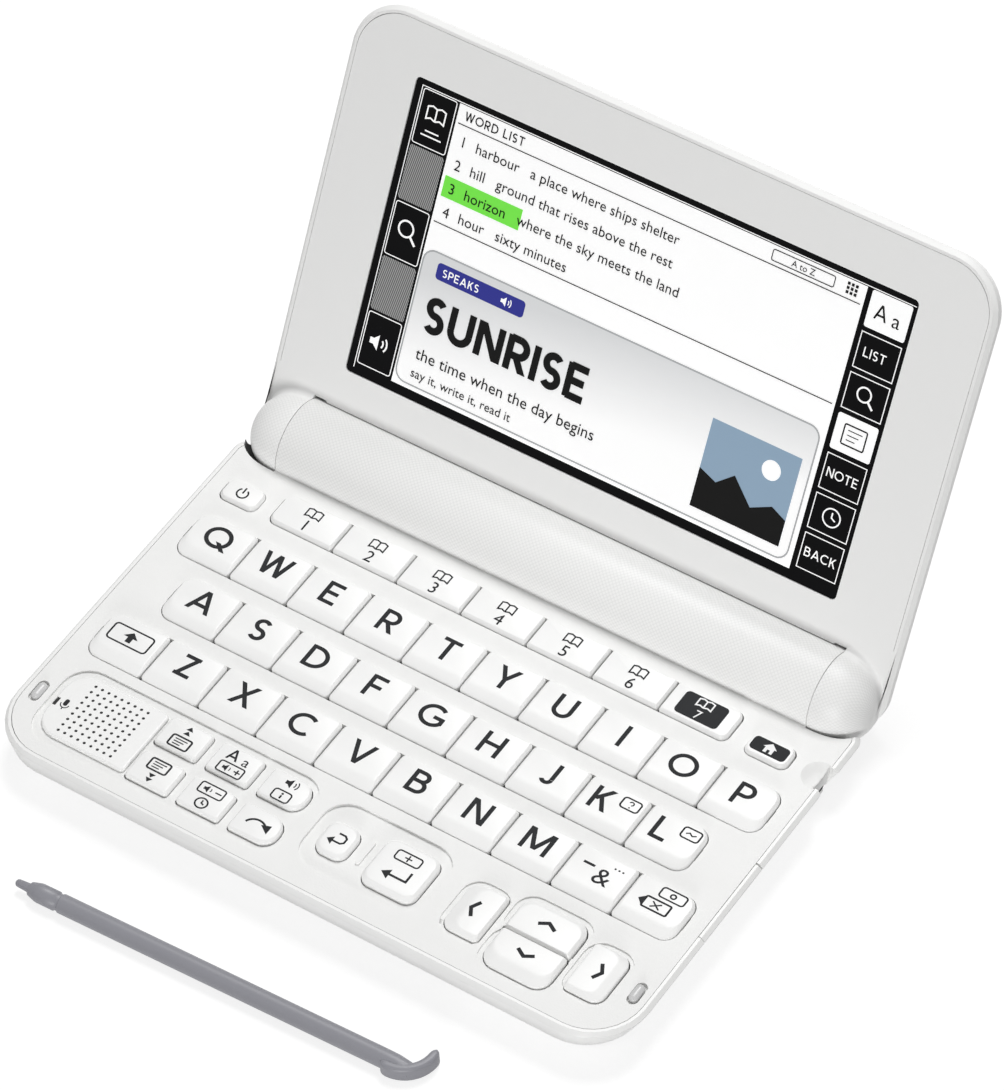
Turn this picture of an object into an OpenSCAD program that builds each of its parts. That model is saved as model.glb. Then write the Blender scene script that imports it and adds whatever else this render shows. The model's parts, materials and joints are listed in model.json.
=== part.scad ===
// Folding electronic dictionary: keyboard base, hinge barrel, screen lid and stylus.
// Millimetres. X runs to the right, Y away from the user, Z up. The feet stand on z = 0.

/* [Base] */
// Overall width of the base and of the lid
body_w = 148; // [147:1:156]
// Depth from the front edge to the back of the hinge barrel
body_d = 104; // [103:1:110]
// Outer radius of the front corners
corner_r = 12.5; // [10:0.5:15]
// Width of the bright rim outside the keyboard deck
rim_w = 1.5; // [1.2:0.1:2]
// Thickness of the case walls and floor
wall = 1.4; // [1.2:0.1:1.6]
// Lean of the side walls from upright, in degrees
side_draft = 31; // [28:1:33]
// Lean of the front wall below its upright band, in degrees
front_draft = 40; // [36:1:42]
// Height of the upright band at the front
front_band = 3; // [2:0.5:3.5]
// Depth of the rounded step at the upper edge of the rim
rim_edge = 0.85; // [0.7:0.05:0.9]
// Thickness of the keyboard deck
deck_t = 1.6; // [1.5:0.1:1.7]
// Height of the feet below the case
foot_h = 0.5; // [0.4:0.1:0.8]
// Distance of the shoulders' back end from the barrel axis
shoulder_gap = 4.75; // [4:0.25:6]

/* [Hinge] */
// Outer radius of the hinge barrel
barrel_r = 9.25; // [9.2:0.05:9.6]
// Length of a knuckle along the hinge
knuckle_l = 11.1; // [10.6:0.1:11.8]
// Squareness of a knuckle's dome, where 2 makes half an ellipsoid
dome_power = 2.7; // [2.2:0.1:3]
// Wall of the hinge barrel
barrel_wall = 1.9; // [1.8:0.05:1.95]
// Height of the hinge axis above the deck
axis_rise = 0.2; // [0:0.1:0.4]
// Radius of the hinge pins
pin_r = 2; // [1.8:0.1:2.4]
// Radial clearance of the hinge pins in the knuckles
pin_clear = 0.06; // [0.04:0.01:0.09]
// Radius of the fillet between a knuckle and the screen frame
knuckle_fillet = 1.2; // [0.8:0.1:1.8]

/* [Lid] */
// Angle between the lid and the deck
lid_open = 119.2; // [100:0.1:135]
// Length of the lid from the hinge axis to its free edge
lid_l = 94.95; // [93:0.25:96]
// Thickness of the lid
lid_t = 5.6; // [5.4:0.1:6.2]
// Height of the screen frame above the hinge axis when the lid is shut
lid_rise = 1.3; // [1.2:0.1:1.6]
// Outer radius of the lid's free corners
lid_corner_r = 11.5; // [9:0.5:14]
// Thickness of the screen frame
bezel_t = 1.5; // [1.3:0.1:1.6]
// Distance of the screen opening from the sides of the lid
window_side = 16.2; // [15:0.2:20]
// Distance of the screen opening from the lid's free edge
window_end = 12.25; // [11.5:0.25:17]
// Distance of the screen opening from the hinge axis
window_y = 17.8; // [17:0.2:18.6]

/* [Keys] */
// Distance of the longest letter rows from the sides of the base
row_margin = 5.1; // [5:0.1:7]
// Distance of the lowest letter row from the front edge
row_front = 27.3; // [27.1:0.1:28]
// Gap between two letter rows
row_gap = 3.8; // [3.6:0.1:4.4]
// Gap between the highest letter row and the reference keys
row_back = 4.9; // [4.6:0.1:5.6]
// Gap between two neighbouring keys
key_gap = 0.36; // [0.34:0.02:0.6]
// Height of the key tops above the deck
key_h = 1; // [0.8:0.05:1.1]
// Travel of a key
key_travel = 0.5; // [0.3:0.1:0.5]
// Clearance between a key and its opening
key_clear = 0.2; // [0.15:0.05:0.25]
// Outer corner radius at the ends of a row
row_end_r = 4.2; // [2:0.2:5]
// Depth of the sloping front face of a letter key
key_slope = 2.7; // [2:0.1:3.2]
// Sideways place of the letter rows
key_bed_x = 0.2; // [-0.4:0.1:0.4]
// Depth of the reference keys
ref_d = 7.9; // [7:0.1:8.2]
// Gap between the reference keys and the hinge barrel
ref_gap = 3.9; // [3.6:0.1:4.6]
// Distance of the reference keys from the left side
ref_left = 17.4; // [17.2:0.1:20]
// Distance of the reference keys from the right side
ref_right = 22.3; // [22.2:0.1:25]
// Width of the gap between two function keys
func_gap = 2.2; // [1.8:0.1:2.8]
// Depth of a function key
func_d = 7.1; // [6.4:0.1:7.4]
// Width of the left and right arrow keys
arrow_w = 8.3; // [7.6:0.1:9]

/* [Speaker] */
// Width of the speaker panel
grille_w = 22; // [21:0.5:22]
// Depth of the speaker panel
grille_d = 16.2; // [15.8:0.2:16.6]
// Pitch of the sound holes
hole_pitch = 1.575; // [1.4:0.025:1.6]
// Radius of a sound hole
hole_r = 0.33; // [0.25:0.01:0.4]
// Sound holes along each side
hole_n = 9; // [5:1:9]

/* [Stylus] */
// Overall length of the stylus
stylus_l = 93.4; // [88:0.2:94]
// Radius of the stylus shaft
stylus_r = 2; // [1.8:0.05:2.1]
// Radial clearance of the stylus in its silo
silo_clear = 0.3; // [0.25:0.05:0.35]
// Outer radius of the curved tail
tail_r = 7.5; // [6:0.25:9]

/* [Hidden] */
eps = 0.01;
snug = 0.1; // gap between fixed mating faces
row_top = ["q", "w", "e", "r", "t", "y", "u", "i", "o", "p"];
row_mid = ["a", "s", "d", "f", "g", "h", "j", "k", "l"];
row_low = ["shift", "z", "x", "c", "v", "b", "n", "m", "sign", "delete"];
letter_rows = [row_low, row_mid, row_top];
single_keys = ["power", "home", "back", "enter", "left", "right", "up", "down"];
function key_name(k) = str("key_", k);

half_w = body_w / 2;
front_y = -body_d / 2;
axis_y = body_d / 2 - barrel_r;
axis_z = foot_h + barrel_r;
deck_z = axis_z - axis_rise;
deck_under = deck_z - deck_t;
case_z = foot_h;
floor_z = case_z + wall;
edge_z = deck_z - rim_edge;
band_z = edge_z - front_band;
shoulder_y = axis_y - shoulder_gap;
barrel_half = half_w - knuckle_l;
knuckle_r = barrel_r - snug;
joint_gap = 0.15; // gap between the barrel's end and a knuckle
sweep_r = barrel_r + 0.35; // the lid's concave lower edge clears the barrel
back_sweep_r = barrel_r + 0.6; // the lid's back case clears the barrel and both knuckles
knuckle_pocket = 0.5; // gap between a knuckle and its pocket in the base
corner_n = 8; // steps of a case corner
small_n = 3; // steps of a key corner

cell_r = 7.2; // two standard small cells lie end to end
cell_l = 50.5;
bay_half = cell_l + 1.1;
bulkhead_t = 1.2;
inner_r = barrel_r - barrel_wall;
door_split = 3.9; // start of the battery cover behind the axis
door_top = 1.6; // height of the battery cover's upper edge over the axis
door_half = bay_half;

white = [0.93, 0.93, 0.92];
warm_white = [0.9, 0.9, 0.89];
cream = [0.96, 0.96, 0.95];
stylus_grey = [0.55, 0.55, 0.58];
ink = [0.08, 0.08, 0.09];

// Shared shapes.

// Closed outline of a rounded rectangle; r holds the radii of the front left,
// front right, back right and back left corners, each drawn in n steps.
function outline(x0, x1, y0, y1, r, n) = [
    for (c = [0 : 3], i = [0 : n])
        let (right = c == 1 || c == 2, back = c >= 2, a = 180 + 90 * (c + i / n))
        [(right ? x1 - r[c] : x0 + r[c]) + r[c] * cos(a),
         (back ? y1 - r[c] : y0 + r[c]) + r[c] * sin(a)]];

function at_z(points, z) = [for (p = points) [p[0], p[1], z]];

// Skin over a stack of rings that have the same number of points.
module loft(rings) {
    n = len(rings[0]);
    m = len(rings);
    sides = [
        for (j = [0 : m - 2], i = [0 : n - 1])
            let (a = j * n + i, b = j * n + (i + 1) % n)
            each [[a, a + n, b + n], [a, b + n, b]]];
    polyhedron(
        points = [for (r = rings) each r],
        faces = concat(
            [[for (i = [0 : n - 1]) i]],
            sides,
            [[for (i = [n - 1 : -1 : 0]) (m - 1) * n + i]]));
}

module slab(x0, x1, y0, y1, r, z0, z1, n = small_n)
    translate([0, 0, z0])
        linear_extrude(z1 - z0)
            polygon(outline(x0, x1, y0, y1, len(r) == 4 ? r : [r[0], r[0], r[0], r[0]], n));

module box(x0, x1, y0, y1, z0, z1)
    translate([x0, y0, z0])
        cube([x1 - x0, y1 - y0, z1 - z0]);

module rod_x(x0, x1, r, fn = 72)
    translate([x0, 0, 0])
        rotate([0, 90, 0])
            cylinder(h = x1 - x0, r = r, $fn = fn);

module both_sides() {
    children();
    mirror([1, 0, 0])
        children();
}

module at_axis()
    translate([0, axis_y, axis_z])
        children();

// Moves a part drawn with the lid shut and the hinge axis at the origin to the open lid.
module on_lid()
    at_axis()
        rotate([-lid_open, 0, 0])
            children();

// Case outline.

function side_inset(z) = z < edge_z ? (edge_z - z) * tan(side_draft) : (z - edge_z) * 0.95;
function front_inset(z) = z < band_z ? (band_z - z) * tan(front_draft)
    : z < edge_z ? 0 : (z - edge_z) * 0.95;
function case_ring(z, more = 0) =
    let (s = side_inset(z) + more, f = front_inset(z) + more, r = max(corner_r - (s + f) / 2, 1))
    at_z(outline(-half_w + s, half_w - s, front_y + f, shoulder_y - s,
                 [r, r, 3, 3], corner_n), z);

module case_solid()
    loft([
        case_ring(case_z, 0.7),
        case_ring(case_z + 0.45),
        case_ring(band_z),
        case_ring(edge_z - 0.2),
        case_ring(edge_z + 0.1),
        case_ring(deck_z)]);

module case_cavity()
    loft([
        case_ring(floor_z, wall),
        case_ring(band_z, wall + 0.3),
        at_z(deck_points(-rim_w * 0.75), deck_under + eps)]);

// Outline of the keyboard deck, grown by g.
function deck_points(g) =
    outline(-half_w + rim_w - g, half_w - rim_w + g, front_y + rim_w - g,
            shoulder_y - rim_w + g, [corner_r - rim_w, corner_r - rim_w, 2.2, 2.2], corner_n);

// Quarter of a rounded square: 1 at t = 0, falling to 0 at t = 1.
function dome_curve(t) = pow(max(0, 1 - pow(max(0, t), dome_power)), 1 / dome_power);

// Radius of a knuckle at a distance x from the middle of the base.
function knuckle_at(x) = knuckle_r * dome_curve((x - barrel_half) / knuckle_l);

// Solid of revolution round the hinge axis that follows the knuckle between x0 and x1.
module knuckle_dome(x0, x1, grow = 0, steps = 12)
    both_sides()
        rotate([0, 90, 0])
            rotate_extrude($fn = 72)
                polygon(concat(
                    [[0, x0]],
                    [for (i = [0 : steps])
                        let (x = x0 + (x1 - x0) * sin(90 * i / steps))
                        [knuckle_at(min(x, half_w)) + grow + eps, x]],
                    [[0, x1 + (grow > 0 ? grow : eps)]]));

module knuckle_pockets()
    at_axis()
        knuckle_dome(barrel_half, half_w, knuckle_pocket);

// Places across the deck are taken from its sides, and places along it from the front edge
// or from the hinge barrel. A key's list holds its left, right, front and back edges.
panel_drop = 0.5; // depth of the sunken panels
pad_drop = 0.6;
panel_x0 = -half_w + 6.7;
panel_x1 = -7.6;
pad_x0 = -4.9;
pad_x1 = 24.3;
func_panel = [panel_x0, panel_x1, front_y + 4.3, front_y + 24.7];
pad = [pad_x0, pad_x1, front_y + 6.4, front_y + 24];
back_key = [pad_x0 + 2.7, pad_x0 + 9.8, front_y + 10.6, front_y + 18.7];
enter_key = [pad_x1 - 14.7, pad_x1 - 2.3, front_y + 8.9, front_y + 20.9];
arrow_x0 = pad_x1 + 4.9;
arrow_x1 = half_w - 8.6;
arrow_gap = 2.35;
arrow_y = [front_y + 8.2, front_y + 20.4];
left_key = [arrow_x0, arrow_x0 + arrow_w, arrow_y[0], arrow_y[1]];
right_key = [arrow_x1 - arrow_w, arrow_x1, arrow_y[0], arrow_y[1]];
up_key = [left_key[1] + arrow_gap, right_key[0] - arrow_gap, front_y + 14.4, front_y + 22.8];
down_key = [up_key[0], up_key[1], front_y + 5.1, front_y + 14];
ref_y0 = axis_y - barrel_r - ref_gap - ref_d;
ref_x0 = -half_w + ref_left;
ref_n = 7;
ref_pitch = (body_w - ref_left - ref_right) / ref_n;
small_key_d = 5.5;
power_key = [-half_w + 5.1, -half_w + 13.9, ref_y0, ref_y0 + small_key_d];
home_key = [half_w - 18.4, half_w - 8.7, ref_y0, ref_y0 + small_key_d];
grille_x = panel_x0 + 12.3;
grille_y = front_y + 14.65;
func_x0 = grille_x + grille_w / 2 + 0.6;
func_w = (panel_x1 - 1.4 - func_x0 - 2 * func_gap) / 3;
func_y = [front_y + 6.05, front_y + 15.85];
bumper_x = half_w - 4.1;
bumper_y = front_y + 14.5;
bumper_w = 2.3;
bumper_d = 5.4;
bumper_h = 1.1;

// The letter rows fill the deck between the panels in front and the reference keys.
key_pitch = (body_w - 2 * row_margin) / len(row_top);
key_d = (ref_y0 - row_back - front_y - row_front - 2 * row_gap) / 3;
row_pitch = key_d + row_gap;
home_row_y = front_y + row_front + row_pitch + key_d / 2;

// Bottom case.

silo_back = 18.3; // distance of the silo from the hinge axis
silo_y = axis_y - silo_back;
silo_r = stylus_r + silo_clear + 0.05;
silo_z = floor_z - 0.6 + silo_r;
silo_end = half_w - 2.4 - stylus_l;
scoop_r = 3.3;
scoop_x = half_w - 2.1;
scoop_z = deck_z - 1.3;

screw_head_r = 1.7;
screw_r = 0.8;
boss_r = 1.9;
boss_top = case_z + 4.2;
screw_side = 7.8; // distance of the outer screws from the sides
screw_front = 7.8; // distance of the front screws from the front edge
screw_places = [
    for (s = [-1, 1]) [s * (half_w - screw_side), home_row_y + key_d / 2],
    for (s = [-1, 1]) [s * (half_w - screw_side), ref_y0 - row_back / 2],
    [(panel_x1 + pad_x0) / 2, front_y + screw_front],
    [pad_x1 + boss_r - 0.6, front_y + screw_front]];
foot_r = 4;
foot_side = 22; // distance of the outer feet from the sides
foot_front = 16; // distance of the front feet from the front edge
foot_back = 9.75; // distance of the back feet from the hinge axis
foot_places = [
    [0, 0],
    for (s = [-1, 1], y = [front_y + foot_front, axis_y - foot_back]) [s * (half_w - foot_side), y]];
foot_seat = 0.4;

port_y0 = -20.2;
port_y1 = 0;
port_z0 = 2.6;
port_t = 1.4;
card_slot = [-17.6, -9.2];
plug_slot = [-7.4, -1.6];
slot_z0 = 3.4;
slot_inset = 0.3; // the sockets stop this far inside the edges of their holes
socket_in = 5.2; // distance of the sockets' mouths from the side

module port_skin(gap)
    difference() {
        intersection() {
            case_solid();
            box(half_w - 7, half_w + 1, port_y0 - gap, port_y1 + 2.5 * gap, port_z0 - gap, deck_z + 1);
        }
        translate([-port_t - gap, 0, 0])
            case_solid();
        box(half_w - 8, half_w - rim_w + snug / 2 - gap, port_y0 - 1, port_y1 + 1,
            deck_under - snug / 2 + gap, deck_z + 1);
    }

module barrel_shell(r_in)
    at_axis()
        difference() {
            rod_x(-barrel_half, barrel_half, barrel_r);
            rod_x(-barrel_half - 1, barrel_half + 1, r_in);
        }

module screw_boss(p)
    translate([p[0], p[1], 0])
        difference() {
            translate([0, 0, case_z + 0.2])
                cylinder(h = boss_top - case_z - 0.2, r = boss_r, $fn = 36);
            translate([0, 0, case_z - 1])
                cylinder(h = 20, r = screw_r + snug, $fn = 36);
        }

module bottom_case() color(white) {
    difference() {
        union() {
            difference() {
                union() {
                    case_solid();
                    box(-barrel_half, barrel_half, shoulder_y - 10, axis_y, case_z, deck_under - snug);
                    intersection() {
                        at_axis()
                            rod_x(-barrel_half, barrel_half, barrel_r);
                        box(-barrel_half, barrel_half, 0, axis_y + door_split, 0, axis_z);
                    }
                    intersection() {
                        at_axis()
                            both_sides()
                                rod_x(door_half + snug, barrel_half, barrel_r);
                        box(-half_w, half_w, axis_y, body_d, 0, axis_z + door_top);
                    }
                    at_axis()
                        both_sides()
                            rod_x(barrel_half - wall, barrel_half, inner_r - eps);
                }
                intersection() {
                    case_cavity();
                    box(-half_w, half_w, front_y, axis_y - barrel_r - 1.2, 0, deck_z);
                }
                deck_seat();
                shoulder_cut();
                at_axis()
                    rod_x(-barrel_half + wall, barrel_half - wall, inner_r);
                knuckle_pockets();
            }
            bulkheads();
            silo_tunnel();
            for (p = screw_places)
                screw_boss(p);
        }
        translate([silo_end, silo_y, silo_z])
            rod_x(0, stylus_l + 10, silo_r);
        stylus_scoop();
        port_skin(snug * 1.5);
        port_holes();
        at_axis()
            both_sides()
                rod_x(barrel_half - 9, barrel_half + 1, pin_r + snug / 2);
        for (p = screw_places)
            translate([p[0], p[1], 0]) {
                translate([0, 0, case_z - 1])
                    cylinder(h = 2.2, r = screw_head_r + snug * 2, $fn = 48);
                translate([0, 0, case_z])
                    cylinder(h = 4, r = screw_r + snug, $fn = 36);
            }
        for (p = foot_places)
            translate([p[0], p[1], case_z - 1])
                cylinder(h = 1 + foot_seat, r = foot_r + snug, $fn = 72);
    }
}

// Recess for the keyboard deck. It passes both sides of the barrel to the shoulders.
module deck_seat()
    difference() {
        translate([0, 0, deck_under])
            linear_extrude(deck_t + 1)
                polygon(deck_points(snug / 2));
        box(-barrel_half - snug, barrel_half + snug, axis_y - barrel_r - snug / 2, body_d,
            0, deck_z + 5);
    }

// Opens the shoulders' seat for the deck up to the knuckle pockets.
module shoulder_cut()
    both_sides()
        box(barrel_half - eps, half_w - rim_w - 1.5, shoulder_y - 12, shoulder_y - 4,
            floor_z + 2, deck_under + eps);

// Walls across the barrel that close the cell bay and carry the hinge pins.
module bulkheads()
    at_axis()
        both_sides()
            difference() {
                intersection() {
                    rod_x(bay_half, bay_half + bulkhead_t, inner_r + eps);
                    box(0, half_w, -barrel_r, barrel_r, -barrel_r, -1);
                }
                box(0, half_w, door_split - snug, barrel_r, -barrel_r, -inner_r * 0.75);
            }

module silo_tunnel()
    box(silo_end - 2, half_w - 3.6, silo_y - silo_r - 0.7, silo_y + silo_r + 0.7,
        case_z + 0.3, silo_z + silo_r + 0.3);

// Thumb scoop in the rim that bares the stylus tail and the mouth of its silo.
module stylus_scoop()
    translate([0, silo_y, scoop_z])
        rod_x(scoop_x, half_w + 2, scoop_r);

module port_holes() {
    box(half_w - 6, half_w - 1, card_slot[0], card_slot[1], slot_z0, board_z);
    box(half_w - 6, half_w - 1, plug_slot[0], plug_slot[1], slot_z0, board_z + 0.2);
}

// Keyboard deck.

module grown(k, g, r, z0, z1)
    slab(k[0] - g, k[1] + g, k[2] - g, k[3] + g, r, z0, z1, 5);

function row_n(i) = len(letter_rows[i]);
function row_x0(i) = key_bed_x - key_pitch * row_n(i) / 2;
function row_y0(i) = front_y + row_front + i * row_pitch;

module row_openings()
    for (i = [0 : 2])
        slab(row_x0(i) + key_gap / 2 - key_clear,
             row_x0(i) + row_n(i) * key_pitch - key_gap / 2 + key_clear,
             row_y0(i) - key_clear, row_y0(i) + key_d + key_clear,
             [row_end_r], deck_under - 1, deck_z + 1, 5);

module bumper(g, z0, z1)
    both_sides()
        slab(bumper_x - bumper_w / 2 - g, bumper_x + bumper_w / 2 + g,
             bumper_y - bumper_d / 2 - g, bumper_y + bumper_d / 2 + g,
             [bumper_w / 2 - eps + g], z0, z1, 6);

// Corner radii of the left and right arrow keys, and with g of their openings.
function left_r(g = 0) = [2.4 + g, 1 + g, 1 + g, 2.4 + g];
function right_r(g = 0) = [1 + g, 2.4 + g, 2.4 + g, 1 + g];

module keyboard_deck() color(white) {
    difference() {
        translate([0, 0, deck_under])
            linear_extrude(deck_t)
                polygon(deck_points(-snug / 2));
        box(-barrel_half - joint_gap, barrel_half + joint_gap,
            axis_y - barrel_r - snug, body_d, 0, deck_z + 5);
        knuckle_pockets();
        row_openings();
        slab(ref_x0 - key_clear, ref_x0 + ref_n * ref_pitch + key_clear,
             ref_y0 - key_clear, ref_y0 + ref_d + key_clear, [1.9], 0, deck_z + 1, 5);
        for (k = [power_key, home_key])
            grown(k, key_clear, [1.9], 0, deck_z + 1);
        slab(func_panel[0], func_panel[1], func_panel[2], func_panel[3],
             [6, 5, 5, 6], deck_z - panel_drop, deck_z + 1, 6);
        slab(pad[0], pad[1], pad[2], pad[3], [5.6], deck_z - pad_drop, deck_z + 1, 6);
        for (k = [left_key, right_key, up_key, down_key])
            grown(k, 1.15, [4], deck_z - 0.35, deck_z + 1);
        for (k = [back_key, enter_key])
            grown(k, key_clear, [2.6], 0, deck_z + 1);
        grown(left_key, key_clear, left_r(key_clear), 0, deck_z + 1);
        grown(right_key, key_clear, right_r(key_clear), 0, deck_z + 1);
        slab(up_key[0] - key_clear, up_key[1] + key_clear, down_key[2] - key_clear,
             up_key[3] + key_clear, [3.4], 0, deck_z + 1, 5);
        for (c = [0 : 2], r = [0 : 1])
            func_place(c, r)
                slab(-key_clear, func_w + key_clear, -key_clear, func_d + key_clear,
                     func_r(c), -deck_z, deck_z, 4);
        slab(grille_x - 8.5, grille_x + 8.5, grille_y - 6.9, grille_y + 6.9,
             [1], 0, deck_z + 1);
        bumper(snug / 2, deck_z - 0.8, deck_z + 1);
        dish();
        translate([0, silo_y, scoop_z])
            rod_x(scoop_x, half_w + 2, scoop_r);
    }
    pad_rib();
    for (p = screw_places)
        translate([p[0], p[1], 0])
            difference() {
                translate([0, 0, boss_top + snug])
                    cylinder(h = deck_under - boss_top, r = boss_r - 0.25, $fn = 36);
                translate([0, 0, boss_top - 1])
                    cylinder(h = deck_under - boss_top, r = screw_r + 0.05, $fn = 36);
            }
}

// Shallow round dish beside the scoop, for a fingertip.
dish_r = 3.45;
dish_depth = 1.1;
module dish() {
    ball = (dish_r * dish_r + dish_depth * dish_depth) / (2 * dish_depth);
    translate([half_w - 2.6, silo_y, deck_z - dish_depth + ball])
        sphere(r = ball, $fn = 96);
}

// Low rib between the back key and the enter key.
module pad_rib()
    slab((back_key[1] + enter_key[0]) / 2 - 0.5, (back_key[1] + enter_key[0]) / 2 + 0.5,
         back_key[2] + 1.6, back_key[3] - 0.2, [0.49], deck_z - pad_drop - 0.2,
         deck_z - 0.15, 4);

// Keys.

flange_z = deck_under - 0.5;
flange_t = 0.35;
flange_w = 0.45;
key_edge = 0.12; // rounded step at the upper edge of a key

// Key cap on the deck. in_top holds the insets of its top face at the left, right, front
// and back, so a large one makes that side a slope.
module key_cap(k, r, in_top, h = key_h) {
    ring = function (g, z) at_z(outline(
        k[0] + g * in_top[0], k[1] - g * in_top[1], k[2] + g * in_top[2], k[3] - g * in_top[3],
        [for (c = r) max(c - g * 0.35, 0.25)], small_n), z);
    loft([
        ring(0, flange_z),
        ring(0, deck_z + 0.18),
        ring(0.14, deck_z + 0.3),
        ring(1, deck_z + h - key_edge),
        ring(1.12, deck_z + h)]);
}

module key_flange(k, gx, gy)
    box(k[0] - gx, k[1] + gx, k[2] - gy, k[3] + gy, flange_z, flange_z + flange_t);

module letter_key(i, j) color(cream) {
    x0 = row_x0(i) + j * key_pitch + key_gap / 2;
    k = [x0, x0 + key_pitch - key_gap, row_y0(i), row_y0(i) + key_d];
    s = 0.8;
    l = j == 0 ? row_end_r - key_clear : s;
    r = j == row_n(i) - 1 ? row_end_r - key_clear : s;
    key_cap(k, [l, r, r, l], [0.5, 0.5, key_slope, 0.35]);
    key_flange([k[0] + l * 0.3 + 0.2, k[1] - r * 0.3 - 0.2, k[2] + 1, k[3] - 1], 0, 1 + flange_w + key_clear);
}

module loose_key(k, r, in_top, h = key_h) color(cream) {
    key_cap(k, r, in_top, h);
    key_flange([k[0] + 1, k[1] - 1, k[2] + 1.6, k[3] - 1.6], 1 + flange_w + key_clear, 0);
}

module key_power() loose_key(power_key, [1.7, 1.7, 1.7, 1.7], [0.4, 0.4, 0.45, 0.35]);
module key_home() loose_key(home_key, [1.7, 1.7, 1.7, 1.7], [0.4, 0.4, 0.45, 0.35]);
module key_back() loose_key(back_key, [2.4, 2.4, 2.4, 2.4], [0.6, 0.6, 0.7, 0.6], 0.75);
module key_enter() loose_key(enter_key, [2.4, 2.4, 2.4, 2.4], [0.6, 0.6, 0.9, 0.6], 0.9);
module key_left() loose_key(left_key, left_r(), [2.4, 0.4, 0.8, 0.6]);
module key_right() loose_key(right_key, right_r(), [0.4, 2.4, 0.8, 0.6]);
module key_up() loose_key(up_key, [0.5, 0.5, 3.2, 3.2], [0.6, 0.6, 0.3, 1.2]);
module key_down() loose_key(down_key, [3.2, 3.2, 0.5, 0.5], [0.6, 0.6, 2.6, 0.3]);

function ref_key(i) = [
    ref_x0 + i * ref_pitch + (i > 0 ? key_gap / 2 : 0),
    ref_x0 + (i + 1) * ref_pitch - (i < ref_n - 1 ? key_gap / 2 : 0),
    ref_y0, ref_y0 + ref_d];

// Seven reference keys moulded on one comb.
module dictionary_keys() color(cream) {
    for (i = [0 : ref_n - 1])
        key_cap(ref_key(i), [i == 0 ? 1.7 : 0.5, i == ref_n - 1 ? 1.7 : 0.5,
                             i == ref_n - 1 ? 1.7 : 0.5, i == 0 ? 1.7 : 0.5],
                [0.35, 0.35, 0.5, 0.3]);
    box(ref_x0 - flange_w, ref_x0 + ref_n * ref_pitch + flange_w, ref_y0 + 1.5,
        ref_y0 + ref_d + flange_w, flange_z, flange_z + flange_t);
}

function func_r(c) = [0.9, c == 2 ? 3.2 : 0.9, c == 2 ? 3.2 : 0.9, 0.9];

module func_place(c, r)
    translate([func_x0 + c * (func_w + func_gap), func_y[r], 0])
        children();

// Six function keys moulded on one web.
module function_keys() color(cream) {
    for (c = [0 : 2], r = [0 : 1])
        func_place(c, r)
            key_cap([0, func_w, 0, func_d], func_r(c) - [1, 1, 1, 1] * 0.1,
                    [0.4, 0.4, 0.45, 0.35], 0.7);
    box(func_x0 + 0.5, func_x0 + 3 * func_w + 2 * func_gap - 2,
        func_y[0] + 0.8, func_y[1] + func_d - 0.8, flange_z, flange_z + flange_t);
}

// Speaker.

grille_z = deck_z - panel_drop;
grille_rise = 0.85;
mic_w = 0.8;
mic_d = 2.1;

module speaker_grille() color(cream) {
    x0 = grille_x - grille_w / 2;
    x1 = grille_x + grille_w / 2;
    y0 = grille_y - grille_d / 2;
    y1 = grille_y + grille_d / 2;
    ring = function (g, z) at_z(outline(x0 + g, x1 - g, y0 + g, y1 - g,
        [5, 1, 1, 5] - [1, 1, 1, 1] * g, 5), z);
    difference() {
        union() {
            loft([
                ring(0, grille_z + snug / 2),
                ring(0, grille_z + grille_rise - 0.3),
                ring(0.15, grille_z + grille_rise - 0.1),
                ring(0.45, grille_z + grille_rise)]);
            slab(grille_x - 8.4, grille_x + 8.4, grille_y - 6.8, grille_y + 6.8, [0.9],
                 deck_under + 0.3, grille_z + 0.2);
        }
        for (i = [0 : hole_n - 1], j = [0 : hole_n - 1])
            translate([grille_x + 0.6 + (i - (hole_n - 1) / 2) * hole_pitch,
                       grille_y + (j - (hole_n - 1) / 2) * hole_pitch, deck_under])
                cylinder(h = deck_t + 2, r = hole_r, $fn = 16);
        box(x0 + 0.3, x0 + 0.3 + mic_w, grille_y - 0.6 - mic_d / 2, grille_y - 0.6 + mic_d / 2,
            0, deck_z + 5);
    }
}

module speaker() color([0.2, 0.2, 0.22])
    translate([grille_x, grille_y, 0]) {
        translate([0, 0, 4.2])
            cylinder(h = deck_under - 4.5, r = 7.6, $fn = 72);
        translate([0, 0, 2.6])
            cylinder(h = 1.7, r = 5, $fn = 72);
    }

// Barrel.

module barrel_cover() color(white)
    intersection() {
        barrel_shell(inner_r + 0.05);
        union() {
            box(-half_w, half_w, 0, axis_y + eps, axis_z + snug / 2, body_d);
            box(-half_w, half_w, axis_y, body_d, axis_z + door_top + snug / 2, body_d);
        }
    }

module battery_cover() color(white)
    difference() {
        union() {
            intersection() {
                barrel_shell(inner_r + 0.1);
                box(-door_half + snug, door_half - snug, axis_y + door_split + snug, body_d,
                    -1, axis_z + door_top - snug / 2);
            }
            for (i = [-5 : 5])
                at_axis()
                    rotate([-28 + i * 2.1, 0, 0])
                        box(-9, 9, barrel_r - 0.4, barrel_r + 0.18, -0.12, 0.12);
        }
    }

module batteries()
    at_axis()
        both_sides() color([0.78, 0.78, 0.8]) {
            rod_x(0.9, cell_l - 1, cell_r);
            rod_x(cell_l - 1 - eps, cell_l + 0.3, 2.7);
        }

module battery_contacts() color([0.85, 0.82, 0.7])
    at_axis()
        both_sides() {
            rod_x(cell_l + 0.5, bay_half - snug, 5);
            rod_x(cell_l + 0.32, cell_l + 0.6, 2);
            box(0.15, 0.75, -4, 4, -5, 5);
        }

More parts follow.
